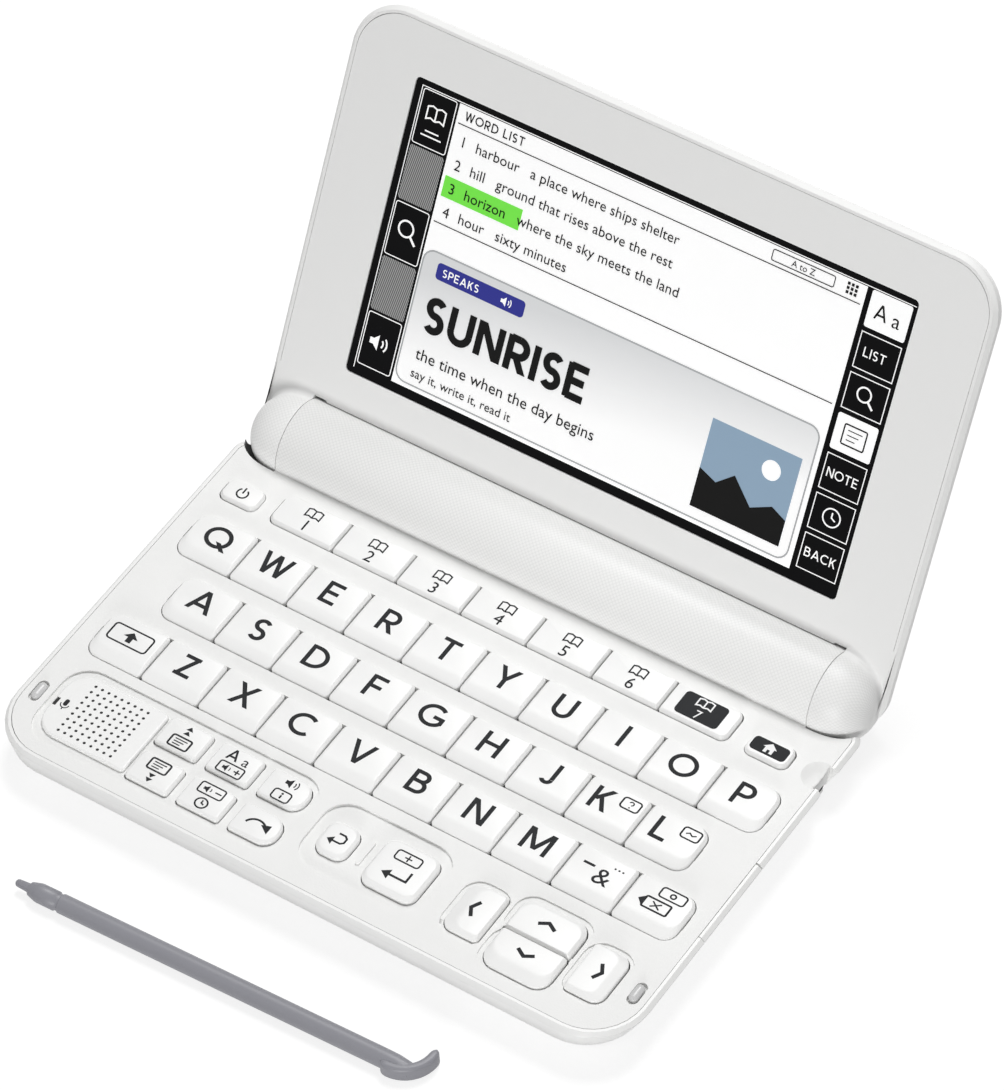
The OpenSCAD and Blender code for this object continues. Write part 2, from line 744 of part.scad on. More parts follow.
module hinge_pins() color([0.7, 0.71, 0.72])
    at_axis()
        both_sides() {
            rod_x(bay_half + bulkhead_t + 0.3, barrel_half - wall - snug, pin_r + 1.6);
            rod_x(barrel_half - wall - snug - eps, barrel_half + 7, pin_r);
        }

// Inside the base.

board_z = 5.2;
board_t = 1;
chip_w = 14;
chip_pitch = 32;
sheet_t = 0.35;
sheet_z = board_z + board_t + 0.2;

// Plan of the circuit board and of the rubber sheet, shrunk by g, with its back edge at back.
module sheet_area(g, z0, z1, back) {
    slab(-half_w + 6.5 + g, half_w - 6.5 - g, front_y + 25 + g, back - g, [1], z0, z1);
    slab(func_x0 - 0.2 + g, half_w - 9 - g, front_y + 4.6 + g, front_y + 26, [1], z0, z1);
}

module main_board() color([0.16, 0.36, 0.2])
    difference() {
        union() {
            sheet_area(1, board_z, board_z + board_t, silo_y - silo_r - 2.6);
            for (x = [-1 : 1])
                translate([x * chip_pitch, home_row_y, board_z - 1.2])
                    slab(-chip_w, 0, -chip_w, 0, [0.5], 0, 1.2 + eps);
            box(-half_w / 2.5, half_w / 2.5, home_row_y + 10, home_row_y + 13,
                board_z - 1, board_z + eps);
        }
        for (p = screw_places)
            translate([p[0], p[1], 0])
                cylinder(h = 20, r = boss_r + 0.5, $fn = 36);
    }

// Metal shell open to the side, from y0 to y1 and l deep.
module socket(y0, y1, l)
    difference() {
        box(half_w - l, half_w - socket_in, y0, y1, slot_z0 - 0.1, board_z - 0.05);
        box(half_w - l + 2, half_w, y0 + 0.7, y1 - 0.7, slot_z0 + 0.3, board_z - 0.6);
    }

module port_sockets() color([0.75, 0.76, 0.78]) {
    for (k = [[card_slot, 16], [plug_slot, 11]])
        socket(k[0][0] + slot_inset, k[0][1] - slot_inset, k[1]);
}

module key_rubber_sheet() color([0.62, 0.63, 0.64])
    difference() {
        sheet_area(0, sheet_z, sheet_z + sheet_t, ref_y0 + ref_d + 1.4);
        for (p = screw_places)
            translate([p[0], p[1], 0])
                cylinder(h = 20, r = boss_r + 0.3, $fn = 36);
    }

module port_cover() color(white)
    port_skin(0);

module rubber_feet() color([0.5, 0.5, 0.51])
    for (p = foot_places)
        translate([p[0], p[1], 0]) {
            cylinder(h = case_z + foot_seat - 0.02, r = foot_r - 0.3, $fn = 72);
            translate([0, 0, 0.25])
                cylinder(h = case_z + foot_seat - 0.27, r = foot_r, $fn = 72);
        }

module deck_bumpers() color([0.72, 0.72, 0.72])
    bumper(0, deck_z - 0.75, deck_z + bumper_h);

module case_screws() color([0.66, 0.67, 0.69])
    for (p = screw_places)
        translate([p[0], p[1], 0])
            difference() {
                union() {
                    translate([0, 0, case_z + 0.2])
                        cylinder(h = 1, r = screw_head_r, $fn = 36);
                    translate([0, 0, case_z + 1])
                        cylinder(h = 5.2, r = screw_r, $fn = 24);
                }
                for (a = [0, 90])
                    rotate([0, 0, a])
                        box(-1.1, 1.1, -0.2, 0.2, 0, case_z + 0.7);
            }

// Lid.

lid_face = lid_rise;
lid_back = lid_rise + lid_t;
bezel_back = lid_face + bezel_t;
lid_edge = lid_face + rim_edge;

function dome_inset(z) = knuckle_l * (1 - dome_curve(z / knuckle_r));
function lid_side(z) = z < lid_edge ? (lid_edge - z) * 0.95 : dome_inset(z) - dome_inset(lid_edge);
function lid_tip(z) = z < lid_edge ? (lid_edge - z) * 0.95 : pow((z - lid_edge) / 3, 1.9);
function lid_ring(z, more = 0) =
    let (s = lid_side(z) + more, f = lid_tip(z) + more, r = max(lid_corner_r - (s + f) / 2, 1))
    at_z(outline(-half_w + s, half_w - s, -lid_l + f, -1.2, [r, r, 1, 1], corner_n), z);

function frame_points(g) =
    let (r = lid_corner_r - rim_w)
    outline(-half_w + rim_w - g, half_w - rim_w + g, -lid_l + rim_w - g, 0,
            [r, r, 0.5, 0.5], corner_n);

module lid_solid()
    loft([
        lid_ring(lid_face),
        lid_ring(lid_edge - 0.1),
        lid_ring(lid_edge + 0.2),
        lid_ring(lid_edge + 1.4),
        lid_ring(lid_back - 2.2),
        lid_ring(lid_back - 1.2),
        lid_ring(lid_back - 0.5),
        lid_ring(lid_back, 0.9)]);

module lid_back_case() color(white)
    on_lid()
        difference() {
            union() {
                lid_solid();
                knuckle_dome(half_w - rim_w + snug / 2, half_w);
            }
            translate([0, 0, lid_face - 1])
                linear_extrude(bezel_t + 1 + snug / 2)
                    polygon([for (p = frame_points(snug / 2)) [p[0], min(p[1], -eps)]]);
            slab(-half_w + rim_w + 2, half_w - rim_w - 2, -lid_l + rim_w + 2.2, -11.5,
                 [8, 8, 1, 1], lid_face, lid_back - 1.2, 6);
            rod_x(-half_w + rim_w - snug / 2 + eps, half_w - rim_w + snug / 2 - eps, back_sweep_r);
        }

window_w = body_w - 2 * window_side;
window_h = lid_l - window_y - window_end;
fillet_steps = 4;
arc_steps = 22;
frame_end = -knuckle_r - knuckle_fillet - 1.4; // end of the flat frame at the knuckles
apron_y = frame_end - 1.7; // the knuckle's skin runs inside the flat frame up to here
lap = 0.02; // the knuckle's skin lies this far inside the frame's faces

// Section of a knuckle across the hinge axis, with the lid shut: a circle that runs
// through a fillet into the face of the screen frame.
function knuckle_section(x) =
    let (r = knuckle_at(x),
         f = knuckle_fillet,
         face = lid_face + lap,
         back = bezel_back - lap,
         cz = face - f,
         cy = -sqrt(pow(r + f, 2) - cz * cz),
         join_a = (atan2(cz, cy) + 360) % 360,
         end_a = 540 - asin(back / r))
    concat(
        [[x, apron_y, back], [x, apron_y, face]],
        [for (i = [0 : fillet_steps])
            let (a = 90 + (join_a - 180 - 90) * i / fillet_steps)
            [x, cy + f * cos(a), cz + f * sin(a)]],
        [for (i = [1 : arc_steps])
            let (a = join_a + (end_a - join_a) * i / arc_steps)
            [x, r * cos(a), r * sin(a)]]);

knuckle_steps = 10;
module knuckles() {
    x0 = barrel_half + joint_gap;
    x1 = half_w - rim_w - snug / 2 - lap;
    both_sides()
        difference() {
            loft([for (i = [-1 : knuckle_steps])
                knuckle_section(x0 + (x1 - x0) * sin(90 * i / knuckle_steps))]);
            box(0, x0, apron_y - 5, 20, -20, 20);
        }
}

// Flat screen frame, with a tongue between the knuckles that follows the barrel.
module frame_plate() {
    w = half_w - rim_w - snug / 2;
    m = barrel_half + joint_gap * 3;
    tip = frame_points(-snug / 2);
    translate([0, 0, lid_face])
        linear_extrude(bezel_t)
            polygon(concat(
                [for (i = [0 : 2 * corner_n + 1]) tip[i]],
                [[w, frame_end], [m, frame_end], [m, -sweep_r * 0.9]],
                [[-m, -sweep_r * 0.9], [-m, frame_end], [-w, frame_end]]));
}

module lid_bezel() color(warm_white)
    on_lid()
        difference() {
            union() {
                difference() {
                    frame_plate();
                    rod_x(-barrel_half - 2 * joint_gap, barrel_half + 2 * joint_gap, sweep_r);
                }
                knuckles();
            }
            slab(-window_w / 2, window_w / 2, -window_y - window_h, -window_y, [1.1],
                 0, bezel_back + 1);
            both_sides()
                rod_x(barrel_half - 1, barrel_half + 8, pin_r + pin_clear);
        }

panel_sink = 0.2;
module touch_panel() color(ink)
    on_lid()
        slab(-window_w / 2 + snug, window_w / 2 - snug, -window_y - window_h + snug,
             -window_y - snug, [1], lid_face + panel_sink, bezel_back - 0.02);

module display_module() color([0.3, 0.31, 0.33])
    on_lid() {
        slab(-window_w / 2 - 2, window_w / 2 + 2, -window_y - window_h - 1.8, -window_y + 1.8,
             [0.6], bezel_back + 0.03, lid_back - 1.25);
    }

// Stylus.

stylus_tip = [-49.8, front_y - 21.6];
stylus_turn = 1.95;
nib_l = 3.3;
nib_r = 0.8;
head_l = 6.2;
tail_h = 3.7;
tail_t = 2;

module stylus() color(stylus_grey) {
    shaft = stylus_l - tail_t / 2;
    tail_x = stylus_l - tail_r;
    tail_y = tail_r - stylus_r - 0.6;
    translate([stylus_tip[0], stylus_tip[1], stylus_r])
        rotate([0, 0, stylus_turn]) {
            rotate([0, 90, 0])
                rotate_extrude($fn = 48)
                    polygon([
                        [0, 0], [nib_r * 0.6, 0.05], [nib_r, 0.5], [nib_r * 1.2, nib_l],
                        [stylus_r * 0.72, nib_l + 0.1], [stylus_r, nib_l + 2.2],
                        [stylus_r, nib_l + head_l], [stylus_r - 0.25, nib_l + head_l + 0.15],
                        [stylus_r - 0.25, nib_l + head_l + 0.9], [stylus_r, nib_l + head_l + 1.1],
                        [stylus_r, shaft], [0, shaft]]);
            translate([tail_x, tail_y, -stylus_r])
                difference() {
                    intersection() {
                        cylinder(h = tail_h, r = tail_r, $fn = 96);
                        box(-0.5, tail_r + 1, -tail_r - 1, 1.2, 0, tail_h);
                    }
                    translate([-0.4, 0.3, -1])
                        cylinder(h = tail_h + 2, r = tail_r - tail_t, $fn = 96);
                }
        }
}

// Assembly.

bottom_case();
keyboard_deck();
speaker_grille();
barrel_cover();
battery_cover();
batteries();
battery_contacts();
main_board();
port_sockets();
key_rubber_sheet();
speaker();
port_cover();
rubber_feet();
deck_bumpers();
case_screws();
hinge_pins();
lid_back_case();
lid_bezel();
display_module();
touch_panel();
stylus();
dictionary_keys();
function_keys();
for (i = [0 : 2], j = [0 : len(letter_rows[i]) - 1])
    letter_key(i, j);
key_power();
key_home();
key_back();
key_enter();
key_left();
key_right();
key_up();
key_down();
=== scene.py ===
import bpy, bmesh, json, math
from mathutils import Vector, Matrix


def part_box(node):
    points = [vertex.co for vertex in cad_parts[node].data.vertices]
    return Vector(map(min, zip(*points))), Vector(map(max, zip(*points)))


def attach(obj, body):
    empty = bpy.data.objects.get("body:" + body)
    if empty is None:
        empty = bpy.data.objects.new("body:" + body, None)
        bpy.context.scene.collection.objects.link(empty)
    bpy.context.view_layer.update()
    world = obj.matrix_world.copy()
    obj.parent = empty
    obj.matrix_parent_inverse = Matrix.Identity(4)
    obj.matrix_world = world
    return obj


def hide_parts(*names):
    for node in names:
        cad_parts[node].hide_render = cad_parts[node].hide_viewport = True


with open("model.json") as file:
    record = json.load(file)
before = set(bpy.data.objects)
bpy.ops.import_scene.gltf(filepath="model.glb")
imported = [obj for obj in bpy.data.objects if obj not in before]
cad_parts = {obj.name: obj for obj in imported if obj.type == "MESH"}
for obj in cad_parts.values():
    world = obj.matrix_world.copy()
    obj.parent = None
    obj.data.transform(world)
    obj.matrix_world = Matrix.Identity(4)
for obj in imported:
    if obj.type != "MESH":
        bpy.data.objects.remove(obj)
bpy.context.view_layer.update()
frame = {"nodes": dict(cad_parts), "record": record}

# Sizes are in millimetres until a mesh is made; MM turns them into metres.
MM = 0.001
TAU = 2 * math.pi
nodes = frame["nodes"]
bodies = frame["record"]["behaviour"]["bodies"]
body_of = {node: body for body, members in bodies.items() for node in members}
slot_of = {part["node"]: part["material_slot"] for part in frame["record"]["subparts"]}

# Base and hinge barrel.
HALF_W = (Vector(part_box("bottom_case")[1]) / MM).x
DECK_Z = (Vector(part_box("keyboard_deck")[1]) / MM).z
BODY_D = 104.0
FRONT_Y = -BODY_D / 2
BARREL_R = 9.25
AXIS_Y, AXIS_Z = BODY_D / 2 - BARREL_R, 9.75
KNUCKLE_L = 11.1
BARREL_HALF = HALF_W - KNUCKLE_L

# Lid; its heights are those over the hinge axis when it is shut.
LID_OPEN = math.radians(119.2)
LID_L = 94.95
LID_FACE = 1.3
RIM_W = 1.5
BEZEL_T = 1.5
WINDOW_W, WINDOW_H, WINDOW_Y = 115.6, 64.9, 17.8

HERE = Matrix.Identity(4)
AXIS = Matrix.Translation((0, AXIS_Y, AXIS_Z))
# Takes a place on the shut lid, measured from the hinge axis, to the open lid.
LID = AXIS @ Matrix.Rotation(-LID_OPEN, 4, "X")
LID_NORMAL = LID.to_3x3() @ Vector((0, 0, 1))


# Materials.

def feed(tree, node, *values, **named):
    """Gives a node its inputs, in their order or by name with _ for a space: values or other outputs."""
    keys = [*range(len(values)), *(name.replace("_", " ") for name in named)]
    for key, value in zip(keys, (*values, *named.values())):
        if isinstance(value, bpy.types.NodeSocket):
            tree.links.new(value, node.inputs[key])
        else:
            node.inputs[key].default_value = value
    return node


def add_node(tree, kind, *values, **named):
    return feed(tree, tree.nodes.new("ShaderNode" + kind), *values, **named)


def compute(tree, operation, *values):
    node = tree.nodes.new("ShaderNodeMath")
    node.operation = operation
    return feed(tree, node, *values).outputs[0]


def colour_by(tree, shader, factor, low, high, start=0.0, end=1.0):
    """Runs the base colour from low to high while the factor goes from start to end."""
    ramp = add_node(tree, "ValToRGB", factor)
    for stop, position, colour in zip(ramp.color_ramp.elements, (start, end), (low, high)):
        stop.position = position
        stop.color = (*colour, 1)
    feed(tree, shader, Base_Color=ramp.outputs["Color"])


def bump_by(tree, shader, factor, height, strength):
    bump = add_node(tree, "Bump", Strength=strength, Distance=height, Height=factor)
    feed(tree, shader, Normal=bump.outputs["Normal"])


def new_material(name, colour, roughness, specular=0.5, **more):
    """Material with its node tree, its shader and the place on the piece, in metres."""
    material = bpy.data.materials.new(name)
    material.use_nodes = True
    tree = material.node_tree
    shader = feed(tree, tree.nodes["Principled BSDF"], Base_Color=(*colour, 1), Roughness=roughness,
                  Specular_IOR_Level=specular, **more)
    return material, tree, shader, tree.nodes.new("ShaderNodeTexCoord").outputs["Object"]


def mottle_by(tree, shader, colour, amount, scale, where):
    """Varies the base colour by a small amount."""
    noise = add_node(tree, "TexNoise", Vector=where, Scale=scale, Detail=4.0, Roughness=0.6)
    dark = [c * (1 - amount) for c in colour]
    light = [min(1, c * (1 + amount)) for c in colour]
    colour_by(tree, shader, noise.outputs["Fac"], dark, light, 0.3, 0.7)


def grained(name, colour, roughness, grain=2200.0, height=2e-5, strength=0.25, mottle=0.012,
            patches=90.0, specular=0.5, metallic=0.0):
    """Surface with a fine grain; height is that of the grain, in metres."""
    material, tree, shader, where = new_material(name, colour, roughness, specular, Metallic=metallic)
    mottle_by(tree, shader, colour, mottle, patches, where)
    noise = add_node(tree, "TexNoise", Vector=where, Scale=grain, Detail=2.0, Roughness=0.55)
    bump_by(tree, shader, noise.outputs["Fac"], height, strength)
    return material


def metal(name, colour, roughness):
    return grained(name, colour, roughness, 3000.0, 1e-5, 0.2, 0.05, 300.0, metallic=1.0)


# Pitch and depth of the net in mm, and the share of its colour that is left in its grooves as painted
# shade.
NET_PITCH, NET_DEPTH, NET_GROOVE_SHADE = 0.66, 0.035, 0.9


def netted(name, colour, roughness, fade=None):
    """Plastic with a fine diagonal net pressed into it, round the hinge axis, with painted shade in the
    net's grooves.

    With fade, the net dies out between those two heights over the axis on the shut lid."""
    material, tree, shader, where = new_material(name, colour, roughness)
    x, y, z = add_node(tree, "SeparateXYZ", where).outputs
    y = compute(tree, "SUBTRACT", y, AXIS_Y * MM)
    z = compute(tree, "SUBTRACT", z, AXIS_Z * MM)
    around = compute(tree, "MULTIPLY", compute(tree, "ARCTAN2", z, y), BARREL_R * MM)
    waves = []
    for sign in (1, -1):
        lean = compute(tree, "ADD", around, compute(tree, "MULTIPLY", x, sign))
        turn = compute(tree, "MULTIPLY", lean, math.pi / (NET_PITCH * MM) / math.sqrt(2))
        waves.append(compute(tree, "ABSOLUTE", compute(tree, "SINE", turn)))
    quilt = compute(tree, "MULTIPLY", *waves)
    if fade:
        low, high = fade
        over = compute(tree, "ADD", compute(tree, "MULTIPLY", y, LID_NORMAL.y),
                       compute(tree, "MULTIPLY", z, LID_NORMAL.z))
        flat = compute(tree, "DIVIDE", compute(tree, "SUBTRACT", over, low * MM), (high - low) * MM)
        flat = compute(tree, "MINIMUM", compute(tree, "MAXIMUM", flat, 0.0), 1.0)
        quilt = compute(tree, "MAXIMUM", quilt, flat)
    # The net's grooves are painted darker than its raised cells: painted shade.
    colour_by(tree, shader, quilt, [c * NET_GROOVE_SHADE for c in colour], colour, 0.0, 0.5)
    bump_by(tree, shader, quilt, NET_DEPTH * MM, 0.6)
    return material


def lit(name, colour, glow):
    """A colour on the display, which shines a little by itself."""
    material, tree, shader, where = new_material(name, colour, 0.35, 0.1, Emission_Color=(*colour, 1),
                                                 Emission_Strength=glow)
    mottle_by(tree, shader, colour, 0.006, 150.0, where)
    return material


def hatched(name, dark, light, pitch):
    """Grey of fine diagonal lines, as on the display's unused fields."""
    material, tree, shader, where = new_material(name, light, 0.35)
    x, _, z = add_node(tree, "SeparateXYZ", where).outputs
    diagonal = compute(tree, "ADD", x, compute(tree, "MULTIPLY", z, 0.9))
    wave = compute(tree, "SINE", compute(tree, "MULTIPLY", diagonal, TAU / (pitch * MM)))
    share = compute(tree, "ADD", compute(tree, "MULTIPLY", wave, 0.5), 0.5)
    colour_by(tree, shader, share, dark, light, 0.3, 0.7)
    return material


def panel_gradient(name, top, low):
    """Light panel that runs from grey at its upper left to white; top and low are heights in mm."""
    material, tree, shader, where = new_material(name, (0.85, 0.85, 0.86), 0.35, 0.1,
                                                 Emission_Color=(1, 1, 1, 1), Emission_Strength=0.22)
    x, _, z = add_node(tree, "SeparateXYZ", where).outputs
    rise = compute(tree, "DIVIDE", compute(tree, "SUBTRACT", z, low * MM), (top - low) * MM)
    share = compute(tree, "ADD", rise, compute(tree, "MULTIPLY", x, -4.0))
    colour_by(tree, shader, share, (0.93, 0.93, 0.93), (0.55, 0.56, 0.57), 0.35, 1.0)
    return material


case_mat = grained("case_grain", (0.885, 0.885, 0.875), 0.5, 2300.0, 6e-5, 0.5, 0.015)
smooth_mat = grained("case_smooth", (0.9, 0.9, 0.89), 0.36, 900.0, 3e-6, 0.12)
frame_mat = netted("frame_satin", (0.91, 0.91, 0.902), 0.42, fade=(-1.5, 0.2))
key_mat = grained("key_satin", (0.92, 0.92, 0.912), 0.36, 1200.0, 3e-6, 0.12, 0.006)
net_mat = netted("barrel_net", (0.92, 0.92, 0.91), 0.42)
stylus_mat = grained("stylus_satin", (0.262, 0.262, 0.29), 0.42, 1500.0, 8e-6)
rubber_mat = grained("rubber_matte", (0.42, 0.42, 0.42), 0.75, 1800.0)
bumper_mat = grained("bumper_clear", (0.62, 0.62, 0.62), 0.3, 900.0, 4e-6)
ink_mat = grained("print_ink", (0.016, 0.017, 0.019), 0.6, 3000.0, 2e-6, 0.1, 0.1, specular=0.15)
white_ink_mat = grained("print_white", (0.85, 0.85, 0.85), 0.45, 3000.0, 2e-6, 0.1)
steel_mat = metal("steel_plain", (0.58, 0.58, 0.6), 0.35)
# Near-black material of painted shade, put where only shade falls: in the pockets round the knuckles, under
# the sound holes and the mic slot, and in the mouth of the stylus silo.
painted_shade_mat = grained("gap_dark", (0.02, 0.02, 0.02), 0.8, 900.0, 4e-6)

SLOT_MATERIAL = {
    "case_white": case_mat, "frame_white": frame_mat, "key_white": key_mat,
    "stylus_grey": stylus_mat, "soft_rubber": rubber_mat, "steel": steel_mat,
    "spring_steel": metal("spring_plated", (0.66, 0.65, 0.62), 0.3),
    "cell_sleeve": metal("cell_sleeve", (0.62, 0.63, 0.66), 0.3),
    "display_back": metal("display_tray", (0.5, 0.5, 0.52), 0.45),
    "circuit_board": grained("board_green", (0.05, 0.2, 0.08), 0.5, 800.0, mottle=0.2),
    "speaker_black": grained("speaker_black", (0.03, 0.03, 0.03), 0.6),
    "screen": grained("screen_gloss", (0.003, 0.003, 0.0035), 0.16, 700.0, 4e-7, 0.1, 0.2, 60.0, 0.06)}
for name, obj in nodes.items():
    obj.data.materials.clear()
    obj.data.materials.append(SLOT_MATERIAL[slot_of[name]])


# Mesh helpers.

def finish_piece(obj, material, body, replaces=(), smooth=35):
    mesh = obj.data
    mesh.materials.clear()
    mesh.materials.append(material)
    mesh.polygons.foreach_set("use_smooth", [True] * len(mesh.polygons))
    mesh.set_sharp_from_angle(angle=math.radians(smooth))
    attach(obj, body)
    if replaces:
        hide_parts(*replaces)


def add_object(name, data):
    obj = bpy.data.objects.new(name, data)
    bpy.context.scene.collection.objects.link(obj)
    return obj


def new_object(name, vertices, faces, matrix=HERE):
    mesh = bpy.data.meshes.new(name)
    mesh.from_pydata([(matrix @ Vector(v)) * MM for v in vertices], [], faces)
    return add_object(name, mesh)


def mend_normals(obj, weld=0.0):
    bm = bmesh.new()
    bm.from_mesh(obj.data)
    if weld:
        bmesh.ops.remove_doubles(bm, verts=bm.verts, dist=weld)
    bmesh.ops.recalc_face_normals(bm, faces=bm.faces)
    bm.to_mesh(obj.data)
    bm.free()


def loft(rings):
    """Vertices and faces of a closed skin over rings that have the same number of points."""
    count = len(rings[0])
    vertices = [v for ring in rings for v in ring]
    faces = []
    for j in range(len(rings) - 1):
        for i in range(count):
            a, b = j * count + i, j * count + (i + 1) % count
            faces.append((a, b, b + count, a + count))
    faces.append(tuple(reversed(range(count))))
    faces.append(tuple((len(rings) - 1) * count + i for i in range(count)))
    return vertices, faces


def solid(rings, matrix=LID, name="solid"):
    obj = new_object(name, *loft(rings), matrix)
    mend_normals(obj)
    return obj


def outline(x0, x1, y0, y1, radii, steps):
    """Rounded rectangle; radii are those of the front left, front right, back right and back left."""
    points = []
    for c in range(4):
        right, rear, r = c in (1, 2), c >= 2, radii[c]
        for i in range(steps + 1):
            a = math.pi + math.pi / 2 * (c + i / steps)
            points.append(((x1 - r if right else x0 + r) + r * math.cos(a),
                           (y1 - r if rear else y0 + r) + r * math.sin(a)))
    return points


def arc(cx, cy, r, a0, a1, steps):
    angles = [math.radians(a0 + (a1 - a0) * i / steps) for i in range(steps + 1)]
    return [(cx + r * math.cos(a), cy + r * math.sin(a)) for a in angles]


def circle(r, steps):
    return [(r * math.cos(TAU * i / steps), r * math.sin(TAU * i / steps)) for i in range(steps)]


def box_points(x0, x1, y0, y1, r=0.0):
    if not r:
        return [(x0, y0), (x1, y0), (x1, y1), (x0, y1)]
    return outline(x0, x1, y0, y1, (r,) * 4, 5)


def at_z(z, points):
    return [(x, y, z) for x, y in points]


def at_x(x, points):
    return [(x, y, z) for y, z in points]


def prism(points, z0, z1, matrix=LID):
    return solid([at_z(z0, points), at_z(z1, points)], matrix)


def block(x0, x1, y0, y1, z0, z1):
    return prism(box_points(x0, x1, y0, y1), z0, z1)


def rod(x0, x1, r, matrix=LID, steps=120):
    return solid([at_x(x0, circle(r, steps)), at_x(x1, circle(r, steps))], matrix)


def crowded(x0, x1, steps, short=0.1):
    """Places from x0 to x1 that crowd at x1; the last may stay a little short of it."""
    return [x0 + (x1 - x0) * math.sin(math.pi / 2 * i / (steps - 1 + short)) for i in range(steps)]


def boolean(obj, cutter, operation):
    mod = obj.modifiers.new("cut", "BOOLEAN")
    mod.object, mod.operation, mod.solver = cutter, operation, "EXACT"
    graph = bpy.context.evaluated_depsgraph_get()
    old, mesh = obj.data, bpy.data.meshes.new_from_object(obj.evaluated_get(graph))
    obj.modifiers.clear()
    obj.data = mesh
    bpy.data.meshes.remove(old)
    bpy.data.objects.remove(cutter)


def flatten(obj, normal, smallest):
    """Shades the flat faces across a direction as flat, beside the rounded ones they run into."""
    for face in obj.data.polygons:
        if abs(face.normal.dot(normal)) > 0.9999 and face.area > smallest * MM * MM:
            face.use_smooth = False


def dressed(node, material, width=0.0):
    """A copy of a CAD node with joined faces, rounded edges and smooth shading, in its place."""
    mesh = nodes[node].data.copy()
    obj = add_object(node + "_skin", mesh)
    bm = bmesh.new()
    bm.from_mesh(mesh)
    bmesh.ops.remove_doubles(bm, verts=bm.verts, dist=2e-6)
    bmesh.ops.dissolve_limit(bm, angle_limit=math.radians(0.6), verts=bm.verts, edges=bm.edges)
    bmesh.ops.recalc_face_normals(bm, faces=bm.faces)
    bm.to_mesh(mesh)
    bm.free()
    finish_piece(obj, material, body_of[node], [node], 32)
    if width:
        bevel = obj.modifiers.new("round", "BEVEL")
        bevel.width, bevel.segments = width * MM, 2
        bevel.limit_method, bevel.angle_limit = "ANGLE", math.radians(40)
        weighted = obj.modifiers.new("weight", "WEIGHTED_NORMAL")
        weighted.keep_sharp, weighted.weight = True, 80
    return obj


# Keys. Each cap is kept by its name with its node, its edges and its height over the deck.
KEY_GAP, KEY_CLEAR = 0.36, 0.2
ROW_END_R, KEY_END_R, KEY_R = 4.2, 2.9, 0.8
KEY_TOP, FUNC_TOP = 1.0, 0.7
KEY_SLOPE = 2.7
KEY_BED_X = 0.2
ROW_MARGIN, ROW_FRONT, ROW_GAP, ROW_BACK = 5.1, 27.3, 3.8, 4.9
REF_N, REF_D, REF_GAP, REF_LEFT, REF_RIGHT = 7, 7.9, 3.9, 17.4, 22.3
REF_Y0 = AXIS_Y - BARREL_R - REF_GAP - REF_D
REF_X0 = -HALF_W + REF_LEFT
REF_PITCH = (2 * HALF_W - REF_LEFT - REF_RIGHT) / REF_N
ROWS = [["shift", "z", "x", "c", "v", "b", "n", "m", "sign", "delete"],
        ["a", "s", "d", "f", "g", "h", "j", "k", "l"],
        ["q", "w", "e", "r", "t", "y", "u", "i", "o", "p"]]
KEY_PITCH = (2 * HALF_W - 2 * ROW_MARGIN) / 10
KEY_D = (REF_Y0 - ROW_BACK - FRONT_Y - ROW_FRONT - 2 * ROW_GAP) / 3
caps = {}


def profile(height, steps=5):
    """Wall and slope of a key cap, as pairs of inset share and height above the deck."""
    def corner(a, b, c):
        """Curve from a to c that is drawn towards b."""
        for i in range(steps + 1):
            t = i / steps
            yield tuple((1 - t) ** 2 * a[k] + 2 * t * (1 - t) * b[k] + t * t * c[k] for k in (0, 1))
    foot = 0.2
    rise = height - foot
    low = corner((0, foot - 0.12), (0.0, foot + 0.08), (0.16, foot + 0.08 + 0.12 * rise))
    top = corner((0.72, height - 0.26 * rise), (0.96, height - 0.005), (1.3, height))
    return [(0, -0.9), (0, foot - 0.3), *low, *top]


def key_cap(key, node, edges, radii, insets, height=KEY_TOP, steps=6):
    """Key cap with a rounded upper edge; a large inset makes that side a slope."""
    caps[key] = (node, edges, height)
    x0, x1, y0, y1 = edges
    left, right, near, far = insets
    rings = []
    for g, z in profile(height):
        r = [max(c - g * 0.3, 0.25) for c in radii]
        points = outline(x0 + g * left, x1 - g * right, y0 + g * near, y1 - g * far, r, steps)
        rings.append(at_z(DECK_Z + z, points))
    finish_piece(solid(rings, HERE, "cap_" + key), key_mat, node, [node], 50)


for i, row in enumerate(ROWS):
    row_x = KEY_BED_X - KEY_PITCH * len(row) / 2
    row_y = FRONT_Y + ROW_FRONT + i * (KEY_D + ROW_GAP)
    for j, letter in enumerate(row):
        x = row_x + j * KEY_PITCH + KEY_GAP / 2
        left_r = KEY_END_R if j == 0 else KEY_R
        right_r = KEY_END_R if j == len(row) - 1 else KEY_R
        key_cap(letter, "key_" + letter, (x, x + KEY_PITCH - KEY_GAP, row_y, row_y + KEY_D),
                (left_r, right_r, right_r, left_r), (0.5, 0.5, KEY_SLOPE, 0.35))

PANEL_X0, PANEL_X1, PAD_X0, PAD_X1 = -HALF_W + 6.7, -7.6, -4.9, 24.3
ARROW_X0, ARROW_X1, ARROW_W, ARROW_GAP = PAD_X1 + 4.9, HALF_W - 8.6, 8.3, 2.35
SMALL_KEY_D = 5.5
small_y = (REF_Y0, REF_Y0 + SMALL_KEY_D)
side_y = (FRONT_Y + 8.2, FRONT_Y + 20.4)
middle_x = (ARROW_X0 + ARROW_W + ARROW_GAP, ARROW_X1 - ARROW_W - ARROW_GAP)
